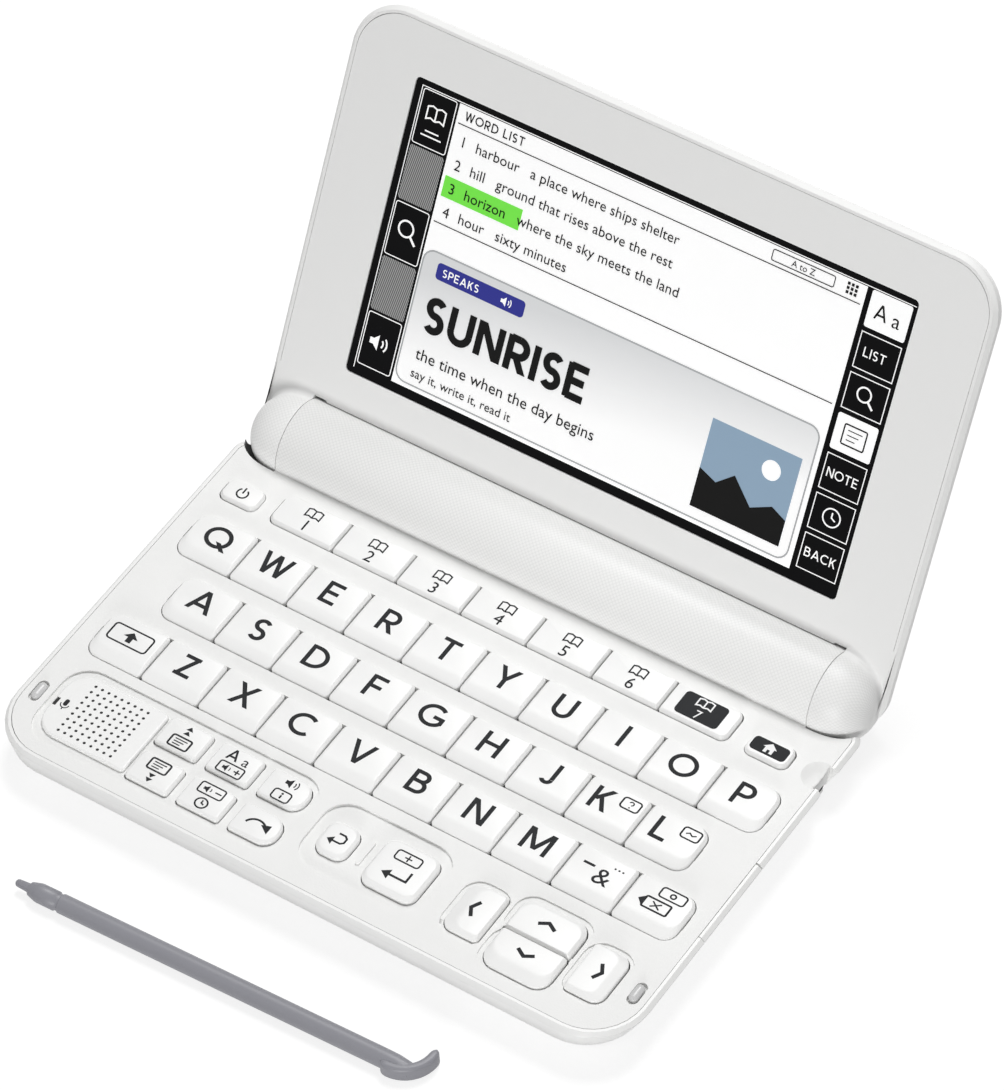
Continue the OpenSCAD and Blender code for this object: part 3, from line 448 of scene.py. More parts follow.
# Edges, corner radii, insets and height of each single key.
SINGLE_KEYS = {
    "power": ((-HALF_W + 5.1, -HALF_W + 13.9, *small_y), (1.7,) * 4, (0.4, 0.4, 0.45, 0.35), KEY_TOP),
    "home": ((HALF_W - 18.4, HALF_W - 8.7, *small_y), (1.7,) * 4, (0.4, 0.4, 0.45, 0.35), KEY_TOP),
    "back": ((PAD_X0 + 2.7, PAD_X0 + 9.8, FRONT_Y + 10.6, FRONT_Y + 18.7),
             (2.4,) * 4, (0.6, 0.6, 0.7, 0.6), 0.75),
    "enter": ((PAD_X1 - 14.7, PAD_X1 - 2.3, FRONT_Y + 8.9, FRONT_Y + 20.9),
              (2.4,) * 4, (0.6, 0.6, 0.9, 0.6), 0.9),
    "left": ((ARROW_X0, ARROW_X0 + ARROW_W, *side_y), (2.4, 1, 1, 2.4), (2.4, 0.4, 0.8, 0.6), KEY_TOP),
    "right": ((ARROW_X1 - ARROW_W, ARROW_X1, *side_y), (1, 2.4, 2.4, 1), (0.4, 2.4, 0.8, 0.6), KEY_TOP),
    "up": ((*middle_x, FRONT_Y + 14.4, FRONT_Y + 22.8),
           (0.5, 0.5, 3.2, 3.2), (0.6, 0.6, 0.3, 1.2), KEY_TOP),
    "down": ((*middle_x, FRONT_Y + 5.1, FRONT_Y + 14),
             (3.2, 3.2, 0.5, 0.5), (0.6, 0.6, 2.6, 0.3), KEY_TOP)}
for name, shape in SINGLE_KEYS.items():
    key_cap(name, "key_" + name, *shape, 8)

FUNC_GAP, FUNC_D = 2.2, 7.1
GRILLE_X, GRILLE_W = PANEL_X0 + 12.3, 22.0
FUNC_X0 = GRILLE_X + GRILLE_W / 2 + 0.6
FUNC_W = (PANEL_X1 - 1.4 - FUNC_X0 - 2 * FUNC_GAP) / 3
FUNC_Y = (FRONT_Y + 6.05, FRONT_Y + 15.85)
for c in range(3):
    for r in range(2):
        x = FUNC_X0 + c * (FUNC_W + FUNC_GAP)
        side_r = 3.1 if c == 2 else KEY_R
        key_cap(f"function_{c}{r}", "function_keys", (x, x + FUNC_W, FUNC_Y[r], FUNC_Y[r] + FUNC_D),
                (KEY_R, side_r, side_r, KEY_R), (0.4, 0.4, 0.45, 0.35), FUNC_TOP)
for i in range(REF_N):
    x0 = REF_X0 + i * REF_PITCH + (KEY_GAP / 2 if i else 0)
    x1 = REF_X0 + (i + 1) * REF_PITCH - (KEY_GAP / 2 if i < REF_N - 1 else 0)
    first, last = (1.7 if i == 0 else 0.5), (1.7 if i == REF_N - 1 else 0.5)
    key_cap(f"reference_{i + 1}", "dictionary_keys", (x0, x1, REF_Y0, REF_Y0 + REF_D),
            (first, last, last, first), (0.35, 0.35, 0.5, 0.3))


# Hinge barrel and knuckles.
KNUCKLE_R = BARREL_R - 0.1
DOME_POWER, DOME_L = 2.3, 10.3
BAND_POWER, BAND_L = 1.95, 10.4
POCKET_POWER, POCKET_L, POCKET_GAP = 2.7, 11.1, 0.5
KNUCKLE_FILLET = 1.2
JOINT_GAP = 0.15
SWEEP_R = BARREL_R + 0.14
BEZEL_BACK = LID_FACE + BEZEL_T
LID_T, LID_ROUND, LID_CORNER_R = 5.6, 0.5, 11.5
LID_BACK = LID_FACE + LID_T
LID_EDGE = LID_FACE + 0.85
# Power and depth of the lid's crown at its sides and at its far end.
SIDE_CROWN, END_CROWN = (2.3, 2.0), (1.9, 2.9)
FRAME_END = -KNUCKLE_R - KNUCKLE_FILLET - 1.4
APRON_Y = FRAME_END - 1.7
LAP, FIT = 0.004, 0.05
FRAME_W = HALF_W - RIM_W - FIT
CORNER_STEPS = 24


def dome_curve(x, length, power):
    """Share of the full radius at x, on a round end of that length outside the barrel."""
    t = (x - BARREL_HALF) / length
    return max(0.0, 1 - max(0.0, t) ** power) ** (1 / power)


def knuckle_at(x):
    return KNUCKLE_R * max(0.005, dome_curve(x, DOME_L, DOME_POWER))


def band_at(x):
    return max(knuckle_at(x), KNUCKLE_R * dome_curve(x, BAND_L, BAND_POWER))


def knuckle_section(x, fillet_steps=8, arc_steps=84):
    """Section of a knuckle across the axis: a circle that runs through a fillet into the frame."""
    r, f = knuckle_at(x), KNUCKLE_FILLET
    face, rear = LID_FACE + LAP, BEZEL_BACK - LAP
    cz = face - f
    cy = -math.sqrt((r + f) ** 2 - cz * cz)
    join = math.atan2(cz, cy) % TAU
    end = 3 * math.pi - math.asin(min(1, rear / r))
    points = [(APRON_Y, rear), (APRON_Y, face)]
    for i in range(fillet_steps + 1):
        a = math.pi / 2 + (join - math.pi - math.pi / 2) * i / fillet_steps
        points.append((cy + f * math.cos(a), cz + f * math.sin(a)))
    for i in range(1, arc_steps + 1):
        a = join + (end - join) * i / arc_steps
        points.append((r * math.cos(a), r * math.sin(a)))
    return points


def knuckle(side):
    """Front half of a hinge knuckle, with the fillet into the screen frame."""
    x0, x1 = BARREL_HALF + JOINT_GAP, BARREL_HALF + DOME_L
    obj = solid([at_x(side * x, knuckle_section(x)) for x in crowded(x0, x1, 34)])
    ends = sorted((side * (x0 - 2), side * (HALF_W + 2)))
    boolean(obj, block(*ends, -20, 20, BEZEL_BACK - 0.01, 20), "DIFFERENCE")
    return obj


def band(side):
    """Round end from inside the barrel to its tip, for the back half of a knuckle."""
    xs = crowded(BARREL_HALF + JOINT_GAP - 2, BARREL_HALF + BAND_L, 30)
    return solid([at_x(side * x, circle(band_at(x), 96)) for x in xs])


def screen_frame():
    """Flat frame with the window, and a tongue that follows the barrel between the knuckles."""
    corner_r, levels = LID_CORNER_R - RIM_W, 8
    m = BARREL_HALF + JOINT_GAP + 0.01
    notch_x, notch_r = m - 2.6, SWEEP_R + 0.35
    tip = outline(-FRAME_W, FRAME_W, -LID_L + RIM_W + FIT, 0, (corner_r, corner_r, 1, 1), CORNER_STEPS)
    tip = tip[:2 * (CORNER_STEPS + 1)]
    rings = []
    for k in range(levels + 1):
        z = LID_FACE + BEZEL_T * k / levels
        soft = 0.12 * max(0.0, 1 - 3 * k / levels) ** 2
        tongue, notch = [-math.sqrt(r ** 2 - z * z) - soft for r in (SWEEP_R, notch_r)]
        half = [(FRAME_W, FRAME_END), (m, FRAME_END), (m, notch), (notch_x, notch), (notch_x - 0.5, tongue)]
        rings.append(at_z(z, tip + half + [(-x, y) for x, y in reversed(half)]))
    obj = solid(rings)
    window = outline(-WINDOW_W / 2, WINDOW_W / 2, -WINDOW_Y - WINDOW_H, -WINDOW_Y, (1.1,) * 4, 10)
    boolean(obj, prism(window, 0, 4), "DIFFERENCE")
    for side in (-1, 1):
        boolean(obj, knuckle(side), "UNION")
    mend_normals(obj, 1e-6)
    finish_piece(obj, frame_mat, "lid", ["lid_bezel"], 35)
    flatten(obj, LID_NORMAL, 0.02)


def lid_inset(z, power, depth):
    """How far the lid's outer wall lies inside its widest outline, at a height over the axis."""
    if z < LID_EDGE:
        return (LID_EDGE - z) * 0.95
    return depth * ((z - LID_EDGE) / (LID_BACK - LID_EDGE)) ** power


def lid_shell():
    """Outer shell of the lid, with the back halves of both knuckles."""
    levels = [LID_FACE + (LID_EDGE - LID_FACE) * k / 4 for k in range(5)]
    levels += [LID_EDGE + (LID_BACK - LID_ROUND - LID_EDGE) * k / 10 for k in range(1, 11)]
    walls = [(lid_inset(z, *SIDE_CROWN), lid_inset(z, *END_CROWN), z) for z in levels]
    side_in, end_in, _ = walls[-1]
    for k in range(1, 5):
        a = math.pi / 2 * k / 4
        more = 1 - math.cos(a)
        walls.append((side_in + 0.2 * math.sin(a) + more, end_in + 0.35 * math.sin(a) + more,
                      LID_BACK - LID_ROUND + LID_ROUND * math.sin(a)))
    rings = []
    for s, f, z in walls:
        r = LID_CORNER_R - (s + f) / 2
        rings.append(at_z(z, outline(-HALF_W + s, HALF_W - s, -LID_L + f, 5.6, (r, r, 8, 8), CORNER_STEPS)))
    obj = solid(rings)
    m = BARREL_HALF + JOINT_GAP
    for side in (-1, 1):
        ends = sorted((side * (m - 1), side * (HALF_W + 2)))
        keep = block(*ends, -8, 20, BEZEL_BACK + FIT, 20)
        boolean(keep, band(side), "INTERSECT")
        outer = block(*ends, 1.5, 20, -20, 20)
        boolean(outer, band(side), "DIFFERENCE")
        boolean(obj, outer, "DIFFERENCE")
        boolean(obj, keep, "UNION")
    boolean(obj, rod(-m, m, SWEEP_R + 0.2), "DIFFERENCE")
    r, inner = LID_CORNER_R - RIM_W, HALF_W - RIM_W + FIT
    cut = outline(-inner, inner, -LID_L + RIM_W - FIT, 20, (r, r, 1, 1), CORNER_STEPS)
    boolean(obj, prism(cut, -20, BEZEL_BACK + FIT), "DIFFERENCE")
    mend_normals(obj, 1e-6)
    finish_piece(obj, smooth_mat, "lid", ["lid_back_case"], 32)
    flatten(obj, LID_NORMAL, 0.02)


def pocket_lining(side, end, around=20, thick=0.25):
    """Dark bowl in the base, round the front of a knuckle: painted shade for the gap between the knuckle
    and its pocket.
    """
    rings = []
    for x in crowded(BARREL_HALF + 0.3, end, 24, 0):
        outer = (KNUCKLE_R + 0.1 + POCKET_GAP) * dome_curve(x, POCKET_L, POCKET_POWER) - 0.04
        bowl = arc(0, 0, outer - thick, 186, 248, around) + arc(0, 0, outer, 248, 186, around)
        rings.append(at_x(side * x, bowl))
    finish_piece(solid(rings, AXIS, "pocket_lining"), painted_shade_mat, "base")


def barrel(wall=1.85, lift=0.05, steps=120):
    """Upper half of the hinge barrel."""
    inner = BARREL_R - wall
    stop, door = [math.pi - math.asin(lift / BARREL_R), math.asin(1.65 / BARREL_R)]
    ends = [(BARREL_HALF, 0.16), (BARREL_HALF - 0.05, 0.05), (BARREL_HALF - 0.16, 0.0)]
    rings = []
    for x, drop in [(-x, drop) for x, drop in ends] + ends[::-1]:
        angles = [stop + (door - stop) * i / steps for i in range(steps + 1)]
        ring = [((BARREL_R - drop) * math.cos(a), (BARREL_R - drop) * math.sin(a)) for a in angles]
        angles = [door + (stop - door) * i / steps for i in range(steps + 1)]
        ring += [(inner * math.cos(a), max(inner * math.sin(a), lift)) for a in angles]
        rings.append(at_x(x, ring))
    finish_piece(solid(rings, AXIS, "barrel_skin"), net_mat, "base", ["barrel_cover"], 40)


screen_frame()
lid_shell()
# Painted shade in the pockets round the fronts of both knuckles.
pocket_lining(-1, 72.9)
pocket_lining(1, 70.6)
barrel()


def square_row_ends(deck):
    """Gives the ends of the letter rows' openings their tighter corners."""
    depth, inset = 1.2, 0.01
    fills, cuts = [], []
    for row in ROWS:
        (left, _, near, far), (_, right, _, _) = caps[row[0]][1], caps[row[-1]][1]
        x0, x1, y0, y1 = left - KEY_CLEAR, right + KEY_CLEAR, near - KEY_CLEAR, far + KEY_CLEAR
        for ex, way in ((x0, 1), (x1, -1)):
            for ey, up in ((y0, 1), (y1, -1)):
                xs = sorted((ex - way * 0.3, ex + way * ROW_END_R))
                ys = sorted((ey - up * 0.3, ey + up * ROW_END_R))
                fills.append([at_z(z, box_points(*xs, *ys)) for z in (DECK_Z - depth, DECK_Z)])
        ring = outline(x0 + inset, x1 - inset, y0 + inset, y1 - inset, (KEY_END_R + KEY_CLEAR,) * 4, 10)
        cuts.append([at_z(z, ring) for z in (DECK_Z - depth - 0.3, DECK_Z + 1)])
    for parts, operation in ((fills, "UNION"), (cuts, "DIFFERENCE")):
        vertices, faces = [], []
        for rings in parts:
            more, skins = loft(rings)
            faces += [tuple(len(vertices) + k for k in face) for face in skins]
            vertices += more
        cutter = new_object("corners", vertices, faces)
        mend_normals(cutter)
        boolean(deck, cutter, operation)


# The other shells are the CAD solids with their edges rounded.
deck = dressed("keyboard_deck", case_mat)
square_row_ends(deck)
flatten(deck, Vector((0, 0, 1)), 2.0)
dressed("bottom_case", smooth_mat, 0.1)
dressed("speaker_grille", key_mat, 0.08)
dressed("battery_cover", case_mat, 0.1)
dressed("port_cover", smooth_mat, 0.08)
dressed("rubber_feet", rubber_mat, 0.1)


def stylus():
    """Round shaft with a neck and a nib, and a flat tail that curves up beside its end."""
    length, r, nib_l, nib_r, head_l = 93.4, 2.0, 3.3, 0.8, 6.2
    tail_r, tail_t, tail_h = 7.5, 2.0, 3.7
    place = Matrix.Translation((-49.8, FRONT_Y - 21.6, r)) @ Matrix.Rotation(math.radians(1.95), 4, "Z")
    neck = nib_l + head_l
    # Radius and place along the shaft, from the tip.
    shape = [(0.02, 0), (nib_r * 0.5, 0.03), (nib_r * 0.85, 0.25), (nib_r, 0.6), (nib_r * 1.2, nib_l),
             (r * 0.72, nib_l + 0.1), (r * 0.86, nib_l + 1.1), (r * 0.97, nib_l + 1.9), (r, nib_l + 2.4),
             (r, neck - 0.1), (r - 0.25, neck + 0.15), (r - 0.25, neck + 0.9), (r, neck + 1.1),
             (r, length - 9), (r - 0.05, length - 6.5), (r - 0.35, length - 4.0), (r - 0.5, length - 3.4)]
    obj = solid([at_x(x, circle(radius, 48)) for radius, x in shape], place, "stylus_skin")
    middle, start, end, count, round_steps = tail_r - tail_t / 2, -104, 9, 40, 5
    rings = []
    for k in range(count + 1):
        t = k / count
        near_end = min(t, 1 - t) * count / round_steps
        grow = math.sqrt(max(0.02, 1 - max(0.0, 1 - near_end) ** 2))
        a = math.radians(start + (end - start) * t)
        half_t, half_h = tail_t / 2 * grow, tail_h / 2 * (0.75 + 0.25 * grow)
        section = outline(-half_t, half_t, -half_h, half_h, (half_t * 0.8,) * 4, 5)
        rings.append([(length - tail_r + (middle + u) * math.cos(a),
                       tail_r - r - 0.6 + (middle + u) * math.sin(a), tail_h / 2 - r + v)
                      for u, v in section])
    boolean(obj, solid(rings, place), "UNION")
    mend_normals(obj)
    finish_piece(obj, stylus_mat, "stylus", ["stylus"], 50)


stylus()
dressed("case_screws", steel_mat, 0.05)


# Small pieces on the deck.
GRILLE_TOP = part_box("speaker_grille")[1][2] / MM
GRILLE_Y = FRONT_Y + 14.65
HOLE_SPAN = 6.8
MIC_X = GRILLE_X - GRILLE_W / 2 + 0.7
SILO_Y, SCOOP_X, MOUTH_Z = AXIS_Y - 18.3, HALF_W - 2.1, DECK_Z - 3.1


def bumper(side, width=1.0, length=2.1, height=0.75, steps=8):
    """Clear oval stop that the lid closes on; width and length are halves."""
    x, y = HALF_W - 4.1, FRONT_Y + 14.5
    rings = []
    for k in range(steps + 1):
        a = math.pi / 2 * k / steps
        grow = math.cos(a) if k < steps else 0.1
        rx, ry = width * grow, length - width * (1 - grow)
        ring = outline(-rx, rx, -ry, ry, (rx * 0.98,) * 4, 6)
        rings.append([(side * x + px, y + py, DECK_Z + height * math.sin(a)) for px, py in ring])
    rings.insert(0, [(px, py, DECK_Z - 0.5) for px, py, _ in rings[0]])
    finish_piece(solid(rings, HERE, "bumper"), bumper_mat, "base", ["deck_bumpers"], 50)


def painted_shade_floor(name, x0, x1, y0, y1, z):
    """Dark sheet of painted shade, seen through openings in the plate that it lies in."""
    obj = solid([at_z(h, box_points(x0, x1, y0, y1)) for h in (z - 0.05, z)], HERE, name)
    finish_piece(obj, painted_shade_mat, "base")


def silo_mouth():
    """Dark disc of painted shade at the bottom of the stylus silo's open end."""
    obj = rod(SCOOP_X - 0.3, SCOOP_X + 0.06, 1.35, Matrix.Translation((0, SILO_Y, MOUTH_Z)), 40)
    obj.name = "silo_mouth"
    finish_piece(obj, painted_shade_mat, "base")


for side in (-1, 1):
    bumper(side)
# Painted shade under the sound holes of the grille and under the mic slot.
painted_shade_floor("sound_cloth", GRILLE_X + 0.6 - HOLE_SPAN, GRILLE_X + 0.6 + HOLE_SPAN,
           GRILLE_Y - HOLE_SPAN, GRILLE_Y + HOLE_SPAN, GRILLE_TOP - 0.16)
painted_shade_floor("mic_floor", MIC_X - 0.45, MIC_X + 0.45, GRILLE_Y - 1.7, GRILLE_Y + 0.5, GRILLE_TOP - 0.3)
silo_mouth()


# Flat print. Marks on one surface are one thin piece; each later mark lies LAYER higher.
PRINT_T = 0.02
LAYER = 0.0012


class Print:
    """Flat marks on one surface, drawn in its own plane."""

    def __init__(self, name, matrix, body, material=ink_mat, lift=0.0):
        self.name, self.matrix, self.body = name, matrix, body
        self.material, self.lift = material, lift
        self.parts = []

    def fill(self, *points):
        self.parts.append((list(points), [tuple(range(len(points)))]))
        return self

    def rect(self, x0, x1, y0, y1, r=0.0):
        return self.fill(*box_points(x0, x1, y0, y1, r))

    def disc(self, x, y, r):
        return self.fill(*arc(x, y, r, 0, 350, 35))

    def stroke(self, points, width, closed=False):
        """Ribbon along a line with mitred corners."""
        count = len(points)
        vertices, faces = [], []
        for i, p in enumerate(points):
            a = points[i - 1] if (i or closed) else None
            b = points[(i + 1) % count] if (i < count - 1 or closed) else None
            da = Vector((p[0] - a[0], p[1] - a[1])).normalized() if a else None
            db = Vector((b[0] - p[0], b[1] - p[1])).normalized() if b else None
            da, db = da or db, db or da
            na, nb = Vector((-da.y, da.x)), Vector((-db.y, db.x))
            mid = (na + nb).normalized()
            reach = width / 2 / max(0.4, mid.dot(na))
            vertices += [(p[0] + mid.x * reach, p[1] + mid.y * reach),
                         (p[0] - mid.x * reach, p[1] - mid.y * reach)]
        for i in range(count if closed else count - 1):
            a, b = 2 * i, 2 * ((i + 1) % count)
            faces.append((a + 1, b + 1, b, a))
        self.parts.append((vertices, faces))
        return self

    def frame(self, x0, x1, y0, y1, width, r=0.0):
        return self.stroke(box_points(x0, x1, y0, y1, r), width, True)

    def ring(self, x, y, r, width, a0=0, a1=360):
        full = a1 - a0 >= 360
        points = arc(x, y, r, a0, a1, 28)
        return self.stroke(points[:-1] if full else points, width, full)

    def glyph(self, char, x, y, height, weight=0.155, shift=0.5):
        """A plain capital letter; shift 0.5 centres it on x. Returns where it ends."""
        width, bars = GLYPHS[char]
        x -= width * height * shift
        half = weight / 2

        def put(*points):
            self.fill(*[(x + px * height, y + (py - 0.5) * height) for px, py in points])
        for kind, *v in bars:
            if kind == "H":
                put((v[1], v[0] - half), (v[2], v[0] - half), (v[2], v[0] + half), (v[1], v[0] + half))
            elif kind == "C":
                self.ring(x + v[0] * height, y + (v[1] - 0.5) * height, v[2] * height,
                          weight * height, *v[3:])
            else:
                x0, y0, x1, y1 = v if kind == "S" else (v[0], v[1], v[0], v[2])
                h = half * math.hypot(x1 - x0, y1 - y0) / abs(y1 - y0)
                put((x0 - h, y0), (x0 + h, y0), (x1 + h, y1), (x1 - h, y1))
        return x + width * height

    def word(self, string, x, y, height, weight=0.14, space=0.2):
        """Capitals from x rightwards."""
        for char in string:
            if char == " ":
                x += 0.45 * height
            else:
                x = self.glyph(char, x, y, height, weight, 0.0) + space * height

    def text(self, string, x, y, height, align=0.5):
        """Text in Blender's own font, by its cap height; align 0.5 centres it on x."""
        curve = bpy.data.curves.new("letters", "FONT")
        curve.body = string
        curve.resolution_u = 3
        obj = add_object("letters", curve)
        graph = bpy.context.evaluated_depsgraph_get()
        mesh = bpy.data.meshes.new_from_object(obj.evaluated_get(graph))
        bpy.data.objects.remove(obj)
        bpy.data.curves.remove(curve)
        xs = [v.co.x for v in mesh.vertices]
        cap = 0.729
        scale = height / cap
        zero = min(xs) + (max(xs) - min(xs)) * align
        points = [(x + (v.co.x - zero) * scale, y + (v.co.y - cap / 2) * scale) for v in mesh.vertices]
        self.parts.append((points, [tuple(f.vertices) for f in mesh.polygons]))
        bpy.data.meshes.remove(mesh)
        return self

    def make(self):
        low, high = self.lift + 0.004, self.lift + PRINT_T
        bm = bmesh.new()
        for k, (vertices, faces) in enumerate(self.parts):
            points = [bm.verts.new((x, y, low + LAYER * k)) for x, y in vertices]
            made = [bm.faces.new([points[i] for i in face]) for face in faces]
            for v in bmesh.ops.extrude_face_region(bm, geom=made)["geom"]:
                if isinstance(v, bmesh.types.BMVert):
                    v.co.z = high + LAYER * k
        bmesh.ops.recalc_face_normals(bm, faces=bm.faces)
        bm.transform(Matrix.Scale(MM, 4) @ self.matrix)
        mesh = bpy.data.meshes.new(self.name)
        bm.to_mesh(mesh)
        bm.free()
        finish_piece(add_object(self.name, mesh), self.material, self.body, smooth=30)


# Plain capitals, one unit high: V is an upright bar (x, y0, y1), H a level bar (y, x0, x1),
# S a slanted bar (x0, y0, x1, y1) and C part of a circle (x, y, r, from, to).
STEM = ("V", 0.07, 0, 1)
GLYPHS = {
    "A": (0.88, [("S", 0.07, 0, 0.44, 1), ("S", 0.81, 0, 0.44, 1), ("H", 0.3, 0.2, 0.68)]),
    "B": (0.68, [STEM, ("H", 0.93, 0.07, 0.36), ("H", 0.54, 0.07, 0.38), ("H", 0.07, 0.07, 0.38),
                 ("C", 0.36, 0.735, 0.195, -90, 90), ("C", 0.38, 0.305, 0.235, -90, 90)]),
    "C": (0.82, [("C", 0.46, 0.5, 0.43, 48, 312)]),
    "D": (0.8, [STEM, ("H", 0.93, 0.07, 0.3), ("H", 0.07, 0.07, 0.3),
                ("C", 0.3, 0.5, 0.43, -90, 90)]),
    "E": (0.62, [STEM, ("H", 0.93, 0.07, 0.6), ("H", 0.51, 0.07, 0.54), ("H", 0.07, 0.07, 0.6)]),
    "F": (0.58, [STEM, ("H", 0.93, 0.07, 0.58), ("H", 0.5, 0.07, 0.52)]),
    "G": (0.92, [("C", 0.46, 0.5, 0.43, 48, 335), ("H", 0.46, 0.5, 0.9), ("V", 0.83, 0.22, 0.5)]),
    "H": (0.76, [STEM, ("V", 0.69, 0, 1), ("H", 0.51, 0.07, 0.69)]),
    "I": (0.14, [STEM]),
    "J": (0.44, [("V", 0.36, 0.25, 1), ("C", 0.19, 0.24, 0.17, 205, 360)]),
    "K": (0.68, [STEM, ("S", 0.12, 0.4, 0.57, 1), ("S", 0.6, 0, 0.27, 0.62)]),
    "L": (0.57, [STEM, ("H", 0.07, 0.07, 0.57)]),
    "M": (0.98, [STEM, ("V", 0.91, 0, 1), ("S", 0.49, 0.12, 0.11, 1), ("S", 0.49, 0.12, 0.87, 1)]),
    "N": (0.78, [STEM, ("V", 0.71, 0, 1), ("S", 0.68, 0, 0.1, 1)]),
    "O": (0.92, [("C", 0.46, 0.5, 0.43, 0, 360)]),
    "P": (0.64, [STEM, ("H", 0.93, 0.07, 0.34), ("H", 0.44, 0.07, 0.34),
                 ("C", 0.34, 0.685, 0.245, -90, 90)]),
    "Q": (0.92, [("C", 0.46, 0.5, 0.43, 0, 360), ("S", 0.88, -0.03, 0.56, 0.32)]),
    "R": (0.66, [STEM, ("H", 0.93, 0.07, 0.34), ("H", 0.44, 0.07, 0.34),
                 ("C", 0.34, 0.685, 0.245, -90, 90), ("S", 0.58, 0, 0.3, 0.44)]),
    "S": (0.6, [("C", 0.3, 0.715, 0.215, 35, 270), ("C", 0.3, 0.285, 0.215, -145, 90)]),
    "T": (0.68, [("H", 0.93, 0, 0.68), ("V", 0.34, 0, 0.93)]),
    "U": (0.72, [("V", 0.07, 0.36, 1), ("V", 0.65, 0.36, 1), ("C", 0.36, 0.36, 0.29, 180, 360)]),
    "V": (0.84, [("S", 0.42, 0, 0.07, 1), ("S", 0.42, 0, 0.77, 1)]),
    "W": (1.1, [("S", 0.3, 0, 0.07, 1), ("S", 0.3, 0, 0.55, 1), ("S", 0.8, 0, 0.55, 1),
                ("S", 0.8, 0, 1.03, 1)]),
    "X": (0.74, [("S", 0.07, 0, 0.67, 1), ("S", 0.67, 0, 0.07, 1)]),
    "Y": (0.76, [("V", 0.38, 0, 0.46), ("S", 0.38, 0.42, 0.07, 1), ("S", 0.38, 0.42, 0.69, 1)]),
    "Z": (0.64, [("H", 0.93, 0.04, 0.62), ("H", 0.07, 0.02, 0.62), ("S", 0.12, 0.05, 0.54, 0.95)])}


def key_print(key, kind="print_", material=ink_mat, lift=0.0, slope=0.0, stretch=(1, 1)):
    """Print on a key's flat top, drawn from the middle of it; slope is the depth of its front slope."""
    node, (x0, x1, y0, y1), height = caps[key]
    middle = Matrix.Translation(((x0 + x1) / 2, (y0 + y1 + slope) / 2, DECK_Z + height))
    return Print(kind + key, middle @ Matrix.Diagonal((*stretch, 1, 1)), node, material, lift)


def speaker_icon(mark, x, y, size, waves=2):
    lower = [(-0.5, -0.16), (-0.28, -0.16), (0, -0.42)]
    cone = lower + [(dx, -dy) for dx, dy in reversed(lower)]
    mark.fill(*[(x + dx * size, y + dy * size) for dx, dy in cone])
    for k in range(waves):
        mark.ring(x, y, size * (0.28 + 0.22 * k), size * 0.09, -42, 42)


def triangles(mark, x, y, size, way):
    """Two stacked triangles that point up (way 1) or down (way -1)."""
    for k in (0, 1):
        foot = y + way * size * (k - 0.85)
        points = [(x - 0.62 * size, foot), (x + 0.62 * size, foot), (x, foot + 0.85 * way * size)]
        mark.fill(*points[::way])


def lines_icon(mark, x, y, w, h):
    """Box with lines of text in it."""
    mark.frame(x - w / 2, x + w / 2, y - h / 2, y + h / 2, 0.32, 0.35)
    for k in range(3):
        line_y = y + h * (0.24 - 0.24 * k)
        mark.rect(x - w * 0.32, x + w * (0.32 - 0.12 * k), line_y - 0.1, line_y + 0.1)


def book_icon(mark, x, y, w, h, line=0.32):
    """Open book, as two pages that meet in the middle."""
    low, fold = y - h / 2, y + h * 0.38
    for side in (-1, 1):
        edge, belly = x + side * w / 2, x + side * w * 0.25
        page = [(x, low), (belly, y - h * 0.36), (edge, low), (edge, fold), (belly, y + h / 2), (x, fold)]
        mark.stroke(page[::side], line)
    mark.stroke([(x, low), (x, fold)], line)


# Letters and plain signs on the keys, in millimetres from the middle of each key.
LETTER_H, LETTER_WIDEN = 5.5, 1.1
FUNC_STRETCH = (1.3, 1.22)


def letter_marks(mark, key):
    """What is printed on a key of the letter rows."""
    if len(key) == 1:
        mark.glyph(key.upper(), -1.9 if key in "kl" else 0, 0, LETTER_H)
    if key in "kl":
        mark.frame(1.4, 5.0, 0.3, 2.9, 0.34, 0.6)
    if key == "k":
        mark.ring(3.2, 1.9, 0.42, 0.26, -80, 170).disc(3.2, 0.86, 0.16)
    elif key == "l":
        mark.stroke([(2.2, 1.4), (2.8, 1.85), (3.5, 1.35), (4.2, 1.8)], 0.28)
    elif key == "shift":
        mark.frame(-4.2, 4.2, -2.1, 2.1, 0.36, 0.7)
        mark.fill((-1.5, 0), (1.5, 0), (0, 1.4)).rect(-0.55, 0.55, -1.3, 0.02)
    elif key == "sign":
        mark.rect(-3.4, -1.1, 0.5, 1.05).text("&", 1.3, -0.6, 4.0)
        for k in range(3):
            mark.disc(2.3 + k * 0.8, 2.2, 0.2)
    elif key == "delete":
        mark.frame(-0.9, 4.1, 1.2, 3.6, 0.34, 0.6).ring(1.6, 2.4, 0.5, 0.34)
        mark.frame(-2.4, 2.6, -2.4, 0.2, 0.4, 0.3)
        mark.fill((-3.6, -1.1), (-2.35, -2.4), (-2.35, 0.2))
        mark.stroke([(-0.9, -1.8), (0.9, -0.4)], 0.3).stroke([(-0.9, -0.4), (0.9, -1.8)], 0.3)


def reference_marks():
    """A book and a number on each reference key; those of the last are white on a dark plate."""
    place = Matrix.Translation((0, 0, DECK_Z + KEY_TOP))
    dark = Print("print_reference", place, "dictionary_keys")
    white = Print("print_reference_last", place, "dictionary_keys", white_ink_mat, PRINT_T + LAYER * 60)
    for i in range(1, REF_N + 1):
        x0, x1, y0, y1 = caps[f"reference_{i}"][1]
        x, y = (x0 + x1) / 2, (y0 + y1) / 2
        if i < REF_N:
            book_icon(dark, x, y + 1.7, 3.4, 2.2)
            dark.text(str(i), x, y - 1.5, 2.9)
        else:
            dark.rect(x - 4.9, x + 4.9, y - 2.9, y + 2.9, 0.9)
            book_icon(white, x, y + 1.5, 3.4, 2.0)
            white.text(str(i), x, y - 1.4, 2.2)
    dark.make()
    white.make()


